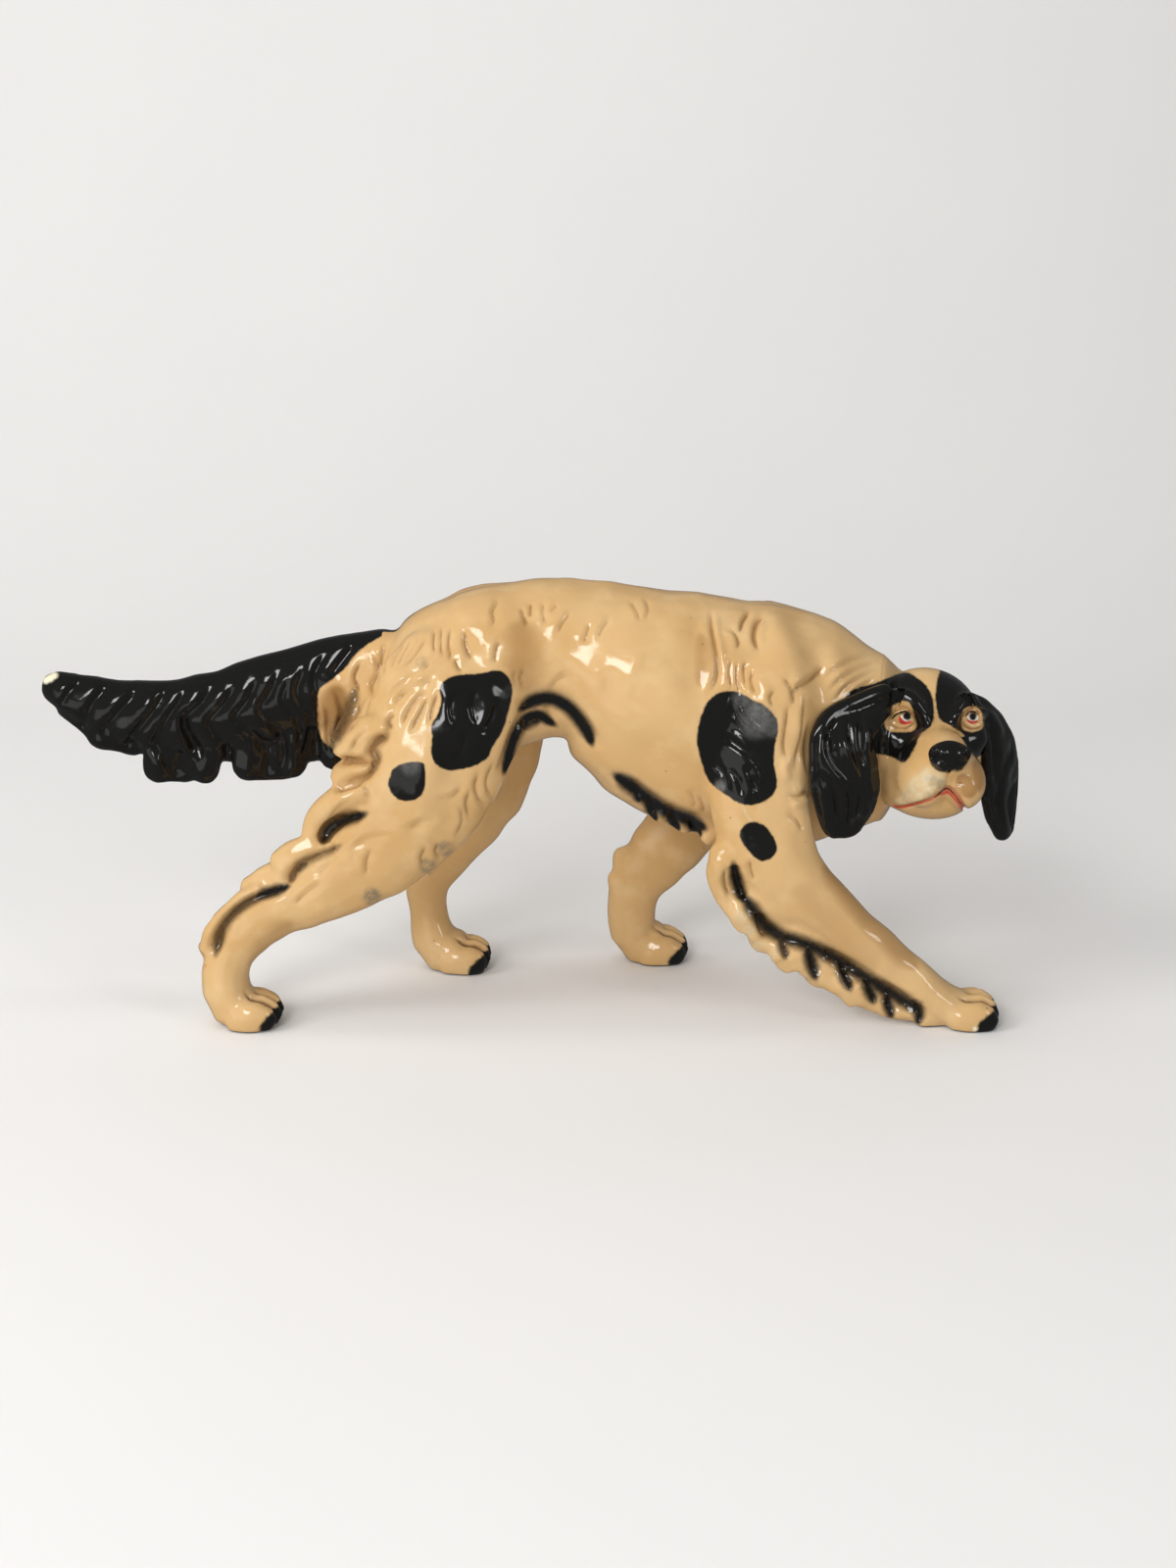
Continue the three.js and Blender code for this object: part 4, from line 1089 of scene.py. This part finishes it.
def paint_layers(shape, is_head, on_face, is_tail, toes):
    """The paint as values on the points, with painted shade in the hollows."""
    coat = ~is_head & (shape.flank_facing > -0.1)
    above_far_legs = (shape.at[:, 1] < 0) | (shape.at[:, 2] > FAR_SPRAY_LOW)
    turn = smooth_step(-0.1, 0.2, shape.flank_facing)
    seen_coat = ~is_head & (shape.facing > 0)
    right_coat = ~is_head & (shape.at[:, 1] < 0)
    spray = turn * sprayed(shape.flank_px, AIRBRUSH, coat & above_far_legs)
    spray = np.maximum(spray, 0.45 * toes)
    # Dark along the lowest millimetre and a half of the paws, where they meet the floor
    spray = np.maximum(spray, 0.8 * smooth_step(1.6, 0.4, shape.at[:, 2]))
    lip_line = brush(shape.px, LIP_LINE, 1.0, on_face)
    spray = np.maximum(spray, 0.9 * lip_line)
    # Brown glazing and painted shade, along the listed strokes
    glaze_and_shade_spray = turn * sprayed(shape.flank_px, GLAZE_AND_SHADE_STROKES, coat & above_far_legs)
    glaze_and_shade_spray = np.maximum(glaze_and_shade_spray, sprayed(shape.px, FACE_GLAZE_AND_SHADE_STROKES, on_face))
    white, red = face_colours(shape, on_face)
    worn = spots_on(shape.px, WORN_SPOTS, seen_coat)
    worn = np.maximum(worn, 0.8 * smooth_step(-2.5, 2.5, inside(shape.px, WORN_LIP, on_face)))
    worn = np.maximum(worn, 0.8 * brush(shape.px, MOULD_SEAM, 0.8, right_coat, taper=0.1))
    worn = np.maximum(worn, 0.8 * brush(shape.px, CRACK, 0.8, seen_coat, taper=0.1))
    rust = spots_on(shape.px, RUST_SPOTS, seen_coat)
    return {
        "black_edge": np.maximum(body_black(shape, is_head, is_tail), face_black(shape, is_head, on_face)),
        "airbrush": spray,
        # Painted shade in fine and broad hollows, together with the brown glazing and shade strokes
        "hollow_shade_and_glaze": np.maximum(shape.hollows(3) * 1.5 + shape.hollows(14) * 0.7, glaze_and_shade_spray),
        "eye_white": white,
        "red": red * (1 - 0.8 * np.clip(2 * lip_line, 0, 1)),
        "worn": worn,
        "chip": spots_on(shape.px, CHIPS, seen_coat),
        # Grey on the black, partly worn gloss and partly a painted sheen
        "rubbed_and_sheen": spots_on(shape.px, RUBBED_AND_SHEEN_SPOTS, seen_coat),
        "smudge": spots_on(shape.px, SMUDGES, shape.facing > 0),
        "rust": np.maximum(rust, spots_on(shape.px, FACE_SPOTS, on_face)),
    }


# Parting the clay into its casts again

def boundary_loops(faces):
    """The closed runs of corners along a surface's open edges, in the sense that closes it."""
    ways = np.concatenate([faces[:, [0, 1]], faces[:, [1, 2]], faces[:, [2, 0]]])
    size = faces.max() + 1
    keys, back = ways[:, 0] * size + ways[:, 1], ways[:, 1] * size + ways[:, 0]
    open_ways = ways[~np.isin(keys, back)]
    following = {}
    for start, end in open_ways.tolist():
        following.setdefault(end, []).append(start)
    loops = []
    while following:
        first = next(iter(following))
        loop = [first]
        while True:
            options = following[loop[-1]]
            step = options.pop()
            if not options:
                del following[loop[-1]]
            if step == first:
                break
            loop.append(step)
        loops.append(loop)
    return loops


def write_layer(mesh, name, values):
    """Keeps a value on each point, for the paint to read."""
    mesh.attributes.new(name, "FLOAT", "POINT").data.foreach_set("value", values.astype(np.float32))


RIM_DEEP = 2 * MM


def cut_out(points, normals, layers, corners, nearest, away, column, name):
    """The part of a surface that lies nearest to one cast, closed under its rim where it was cut."""
    own = nearest == column
    positive = own[corners]
    count = positive.sum(1)
    lone = np.where(count == 1, positive.argmax(1), (~positive).argmax(1))
    turned = np.take_along_axis(corners, (lone[:, None] + np.arange(3)) % 3, 1)
    mixed = turned[(count == 1) | (count == 2)]
    total = len(points)
    ways = np.sort(np.concatenate([mixed[:, [0, 1]], mixed[:, [0, 2]]]), 1).astype(np.int64)
    keys, where = np.unique(ways[:, 0] * total + ways[:, 1], return_inverse=True)
    one, two = keys // total, keys % total
    first = away[one, nearest[two]] - away[one, nearest[one]]
    last = away[two, nearest[one]] - away[two, nearest[two]]
    share = np.clip((first + 1e-4) / np.maximum(first + last + 2e-4, 1e-4), 0.05, 0.95)
    cut = total + where.ravel().reshape(2, -1).T
    single = own[mixed[:, 0]]
    tips = np.column_stack([mixed[single, 0], cut[single]])
    stumps = mixed[~single]
    stump_cut = cut[~single]
    lower = np.column_stack([stump_cut[:, 0], stumps[:, 1], stumps[:, 2]])
    upper = np.column_stack([stump_cut[:, 0], stumps[:, 2], stump_cut[:, 1]])
    faces = np.concatenate([corners[count == 3], tips, lower, upper]).astype(np.int64)
    used, faces = np.unique(faces, return_inverse=True)
    faces = faces.reshape(-1, 3)
    loops = boundary_loops(faces)
    rim = np.concatenate(loops)
    under = np.empty(len(used), np.int64)
    under[rim] = len(used) + np.arange(len(rim))
    walls = []
    for loop in loops:
        for start, end in zip(loop, loop[1:] + loop[:1]):
            walls.append((start, end, under[end], under[start]))
    caps = [under[loop].tolist() for loop in loops]

    def with_rim(values):
        part = share.reshape(-1, *[1] * (values.ndim - 1))
        whole = np.concatenate([values, values[one] + part * (values[two] - values[one])])[used]
        return np.concatenate([whole, whole[rim]])

    corner_normals = with_rim(normals)
    corner_points = with_rim(points)
    corner_points[len(used):] -= RIM_DEEP * corner_normals[len(used):]
    mesh = bpy.data.meshes.new(name)
    mesh.from_pydata(corner_points, [], faces.tolist() + walls + caps)
    mesh.polygons.foreach_set("use_smooth", np.ones(len(mesh.polygons), bool))
    mesh.normals_split_custom_set_from_vertices(corner_normals)
    for key, values in layers.items():
        write_layer(mesh, key, with_rim(values))
    piece = bpy.data.objects.new(name, mesh)
    bpy.context.scene.collection.objects.link(piece)
    return piece


def all_differ(found):
    """Where the three corners of a triangle lie nearest to three casts."""
    one, two, three = found.T
    return (one != two) & (two != three) & (three != one)


def part(shape, layers, away, casts):
    """One closed piece per cast, cut where two casts lie equally near."""
    mesh = shape.mesh
    mesh.calc_loop_triangles()
    corners = np.empty(len(mesh.loop_triangles) * 3, np.int32)
    mesh.loop_triangles.foreach_get("vertices", corners)
    corners = corners.reshape(-1, 3)
    away = np.stack([shape.eased(column, 4) for column in away.T], 1)
    nearest = away.argmin(1)
    threes = all_differ(nearest[corners])
    while threes.any():
        nearest[corners[threes]] = nearest[corners[threes]].min(1)[:, None]
        threes = all_differ(nearest[corners])
    points = (shape.at + ORIGIN) * MM
    made = {}
    for column, cast_name in enumerate(casts):
        name = cast_name + "_painted"
        made[cast_name] = cut_out(points, shape.normal, layers, corners, nearest, away, column, name)
    return made


pieces = part(shape, paint_layers(shape, is_head, on_face, is_tail, toes), away, CLAY_CASTS)
bpy.data.objects.remove(clay)
for ear_name, strands in zip(EARS, (RIGHT_EAR_STRANDS, LEFT_EAR_STRANDS)):
    pieces[ear_name] = ear(ear_name, strands)
    flap = Surface(pieces[ear_name])
    write_layer(flap.mesh, "black_edge", np.full(len(flap.at), -OUTSIDE))
    # Painted shade in the ear's hollows
    write_layer(flap.mesh, "hollow_shade_and_glaze", np.clip(flap.hollows(3) * 2.2, -1, 1))


# Materials

class Socket:
    """A shader value that takes part in Python sums."""

    def __init__(self, finish, socket):
        self.finish = finish
        self.socket = socket

    def sum_with(self, operation, *others):
        return self.finish.add("Math", {"operation": operation}, dict(enumerate((self, *others))))

    def __add__(self, other):
        return self.sum_with("ADD", other)

    __radd__ = __add__

    def __mul__(self, other):
        return self.sum_with("MULTIPLY", other)

    __rmul__ = __mul__

    def __sub__(self, other):
        return self.sum_with("SUBTRACT", other)

    def __rsub__(self, other):
        return self * -1 + other


class Finish:
    """A material under construction."""

    def __init__(self, name):
        self.material = bpy.data.materials.new(name)
        self.material.use_nodes = True
        self.tree = self.material.node_tree
        self.shader = self.tree.nodes["Principled BSDF"]

    def plug(self, place, value):
        if isinstance(value, Socket):
            self.tree.links.new(value.socket, place)
        else:
            place.default_value = value

    def add(self, kind, settings=None, inputs=None, output=0):
        """A node of a kind, with its settings first and then the values or links of its sockets."""
        made = self.tree.nodes.new("ShaderNode" + kind)
        for key, value in (settings or {}).items():
            setattr(made, key, value)
        for key, value in (inputs or {}).items():
            self.plug(made.inputs[key], value)
        return Socket(self, made.outputs[output])

    def layer(self, name):
        return self.add("Attribute", {"attribute_name": name}, output="Fac")

    def noise(self, place, scale, detail=3.0, rough=0.5):
        inputs = {"Vector": place, "Scale": scale, "Detail": detail, "Roughness": rough}
        return self.add("TexNoise", None, inputs)

    def between(self, low, high, value):
        span = {"Value": value, "From Min": low, "From Max": high}
        return self.add("MapRange", {"interpolation_type": "SMOOTHSTEP"}, span)

    def mix(self, share, low, high):
        return self.add("Mix", {"data_type": "RGBA"}, {0: share, 6: low, 7: high}, output=2)

    def surface(self, inputs):
        for key, value in inputs.items():
            self.plug(self.shader.inputs[key], value)


CREAM = (0.595, 0.387, 0.180, 1)
CREAM_DEEP = (0.525, 0.318, 0.128, 1)
CREAM_PALE = (0.655, 0.46, 0.238, 1)
# Brown for glazing and painted shade in the hollows
GLAZE_AND_SHADE_BROWN = (0.25, 0.115, 0.03, 1)
PINHOLE = (0.06, 0.035, 0.02, 1)
BLACK = (0.0065, 0.0063, 0.0056, 1)
# Grey of worn gloss and of painted sheen on the black
BLACK_RUBBED_AND_SHEEN = (0.13, 0.128, 0.12, 1)
PLASTER = (0.56, 0.48, 0.31, 1)
CHIP = (0.74, 0.68, 0.50, 1)
SMUDGE = (0.15, 0.14, 0.105, 1)
RUST = (0.42, 0.10, 0.035, 1)
EYE_WHITE = (0.78, 0.76, 0.70, 1)
LIP_RED = (0.50, 0.035, 0.03, 1)


def enamel(name):
    """Glossy cream and black enamel over plaster, a little uneven, worn and pitted, with painted shade in the
    hollows and a painted sheen on the black.
    """
    finish = Finish(name)
    place = finish.add("TexCoord", output="Object")
    broad = finish.noise(place, 14.0, 2.0)
    mottle = finish.noise(place, 70.0, 4.0)
    fine = finish.noise(place, 420.0, 3.0)
    grit = finish.noise(place, 1500.0, 2.0)
    hollow_shade_and_glaze = finish.layer("hollow_shade_and_glaze")
    cream = finish.mix(finish.between(0.3, 0.7, broad), CREAM_DEEP, CREAM)
    cream = finish.mix(finish.between(0.45, 0.75, mottle) * 0.45, cream, CREAM_PALE)
    # Brown glazing and painted shade in the hollows
    cream = finish.mix(finish.between(0.06, 0.8, hollow_shade_and_glaze) * 0.68, cream, GLAZE_AND_SHADE_BROWN)
    blotch = finish.between(0.3, 0.7, finish.noise(place, 300.0, 4.0, 0.6))
    cream = finish.mix(finish.layer("worn") * (0.35 + blotch * 0.65), cream, PLASTER)
    cream = finish.mix(finish.layer("smudge") * (0.25 + blotch * 0.75), cream, SMUDGE)
    cream = finish.mix(finish.layer("rust") * blotch, cream, RUST)
    pinholes = finish.add("TexVoronoi", None, {"Vector": place, "Scale": 62.0}, output="Distance")
    cream = finish.mix(finish.between(0.032, 0.02, pinholes) * 0.8, cream, PINHOLE)
    spray = finish.between(0.03, 0.9, finish.layer("airbrush") + (fine - 0.5) * 0.2)
    cream = finish.mix(spray, cream, BLACK)
    cream = finish.mix(finish.layer("eye_white"), cream, EYE_WHITE)
    # Grey on the black: random tone, worn gloss and a painted sheen
    rubbed_and_sheen = finish.between(0.62, 0.78, mottle) * 0.15 + finish.layer("rubbed_and_sheen") * (0.5 + blotch * 0.5)
    black = finish.mix(rubbed_and_sheen, BLACK, BLACK_RUBBED_AND_SHEEN)
    inked = finish.between(-0.6, 0.6, finish.layer("black_edge") + (fine - 0.5) * 1.2)
    colour = finish.mix(inked, cream, black)
    colour = finish.mix(finish.layer("red"), colour, LIP_RED)
    colour = finish.mix(finish.layer("chip"), colour, CHIP)
    waves = finish.noise(place, 95.0, 2.0) * 1.1 + fine * 0.1 + grit * 0.03
    bump = finish.add("Bump", None, {"Strength": 0.25, "Distance": 0.001, "Height": waves})
    roughness = 0.10 + finish.between(0.4, 0.8, mottle) * 0.10 + finish.layer("worn") * 0.3
    finish.surface({"Base Color": colour, "Roughness": roughness, "Normal": bump, "Specular IOR Level": 0.42})
    return finish.material


def rusted_iron():
    finish = Finish("iron")
    place = finish.add("TexCoord", output="Object")
    patches = finish.noise(place, 160.0, 5.0)
    rusty = finish.between(0.42, 0.62, patches)
    bump = finish.add("Bump", None, {"Strength": 0.3, "Distance": 0.0004, "Height": patches})
    finish.surface({
        "Base Color": finish.mix(rusty, (0.20, 0.19, 0.18, 1), (0.17, 0.07, 0.03, 1)),
        "Metallic": 1 - rusty,
        "Roughness": 0.4 + rusty * 0.4,
        "Normal": bump,
    })
    return finish.material


paints = {"cream_paint": enamel("cream_paint"), "black_paint": enamel("black_paint")}
for cast_name, piece in pieces.items():
    slot = "black_paint" if cast_name in BLACK_CASTS else "cream_paint"
    piece.data.materials.clear()
    piece.data.materials.append(paints[slot])
    if cast_name in EARS:
        piece.data.polygons.foreach_set("use_smooth", np.ones(len(piece.data.polygons), bool))
    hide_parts(cast_name)
    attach(piece, "root")

iron = rusted_iron()
for rod_name in [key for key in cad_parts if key.endswith("_rod")]:
    for rod_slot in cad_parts[rod_name].material_slots:
        rod_slot.material = iron


# Stage

def lamp(name, at, aim, size, power, mirrored):
    """A soft lamp, which glossy paint mirrors only where it stands for a window."""
    light = bpy.data.lights.new(name, "AREA")
    light.shape = "RECTANGLE"
    light.size, light.size_y = size
    light.energy = power
    holder = bpy.data.objects.new(name, light)
    holder.location = at
    holder.rotation_euler = (Vector(aim) - Vector(at)).to_track_quat("-Z", "Y").to_euler()
    holder.visible_glossy = mirrored
    holder.visible_camera = False
    bpy.context.scene.collection.objects.link(holder)


def paper_sweep():
    """A sheet of pale paper that lies under the figure and curves up behind it."""
    near, far, wide, bend, high, steps = -3.0, 1.6, 4.0, 1.0, 3.2, 16
    line = [(near, 0.0), (far - bend, 0.0)]
    for step in range(1, steps + 1):
        angle = math.pi / 2 * step / steps
        line.append((far - bend + bend * math.sin(angle), bend - bend * math.cos(angle)))
    line.append((far, high))
    corners = [(side * wide, y, z) for y, z in line for side in (-1, 1)]
    faces = [(2 * i, 2 * i + 1, 2 * i + 3, 2 * i + 2) for i in range(len(line) - 1)]
    mesh = bpy.data.meshes.new("paper_sweep")
    mesh.from_pydata(corners, [], faces)
    mesh.polygons.foreach_set("use_smooth", np.ones(len(faces), bool))
    sheet = bpy.data.objects.new("paper_sweep", mesh)
    bpy.context.scene.collection.objects.link(sheet)
    finish = Finish("pale_paper")
    place = finish.add("TexCoord", output="Object")
    tone = finish.noise(place, 3.0, 3.0)
    paper = finish.mix(tone, (0.765, 0.752, 0.735, 1), (0.80, 0.786, 0.765, 1))
    finish.surface({"Base Color": paper, "Roughness": 0.9})
    mesh.materials.append(finish.material)
    sheet.visible_glossy = False


paper_sweep()
world = bpy.data.worlds.new("studio")
world.use_nodes = True
world.node_tree.nodes["Background"].inputs["Color"].default_value = (0.80, 0.81, 0.83, 1)
world.node_tree.nodes["Background"].inputs["Strength"].default_value = 0.2
scene = bpy.context.scene
scene.world = world
lamp("front_window", (-0.75, -2.0, 1.25), (0, 0, 0.1), (0.7, 0.85), 24, True)
lamp("side_window", (1.75, -1.4, 1.1), (0, 0, 0.1), (0.4, 0.8), 7, True)
lamp("left_window", (-2.1, -1.1, 1.5), (0, 0, 0.1), (1.2, 1.2), 36, False)
lamp("low_fill", (0.5, -2.3, 0.4), (0, 0, 0.1), (1.6, 0.8), 8, False)
lamp("floor_glow", (-0.7, -0.9, 0.03), (-0.2, 0, 0.12), (0.9, 0.5), 1.2, True)
lamp("sky", (-0.8, -0.2, 2.3), (0, 0.1, 0), (2.4, 2.4), 13.5, False)
lamp("backdrop_wash", (0, 0.2, 2.6), (0, 1.6, 1.2), (3.0, 0.8), 13, False)

scene.view_settings.view_transform = "Standard"
camera = bpy.data.cameras.new("camera")
camera.lens = LENS_MM
camera.sensor_width = SENSOR_MM
camera_holder = bpy.data.objects.new("camera", camera)
camera_holder.location = (CAMERA_AT + ORIGIN) * MM
camera_holder.rotation_euler = (math.pi / 2 - CAMERA_PITCH, 0, 0)
scene.collection.objects.link(camera_holder)
scene.camera = camera_holder
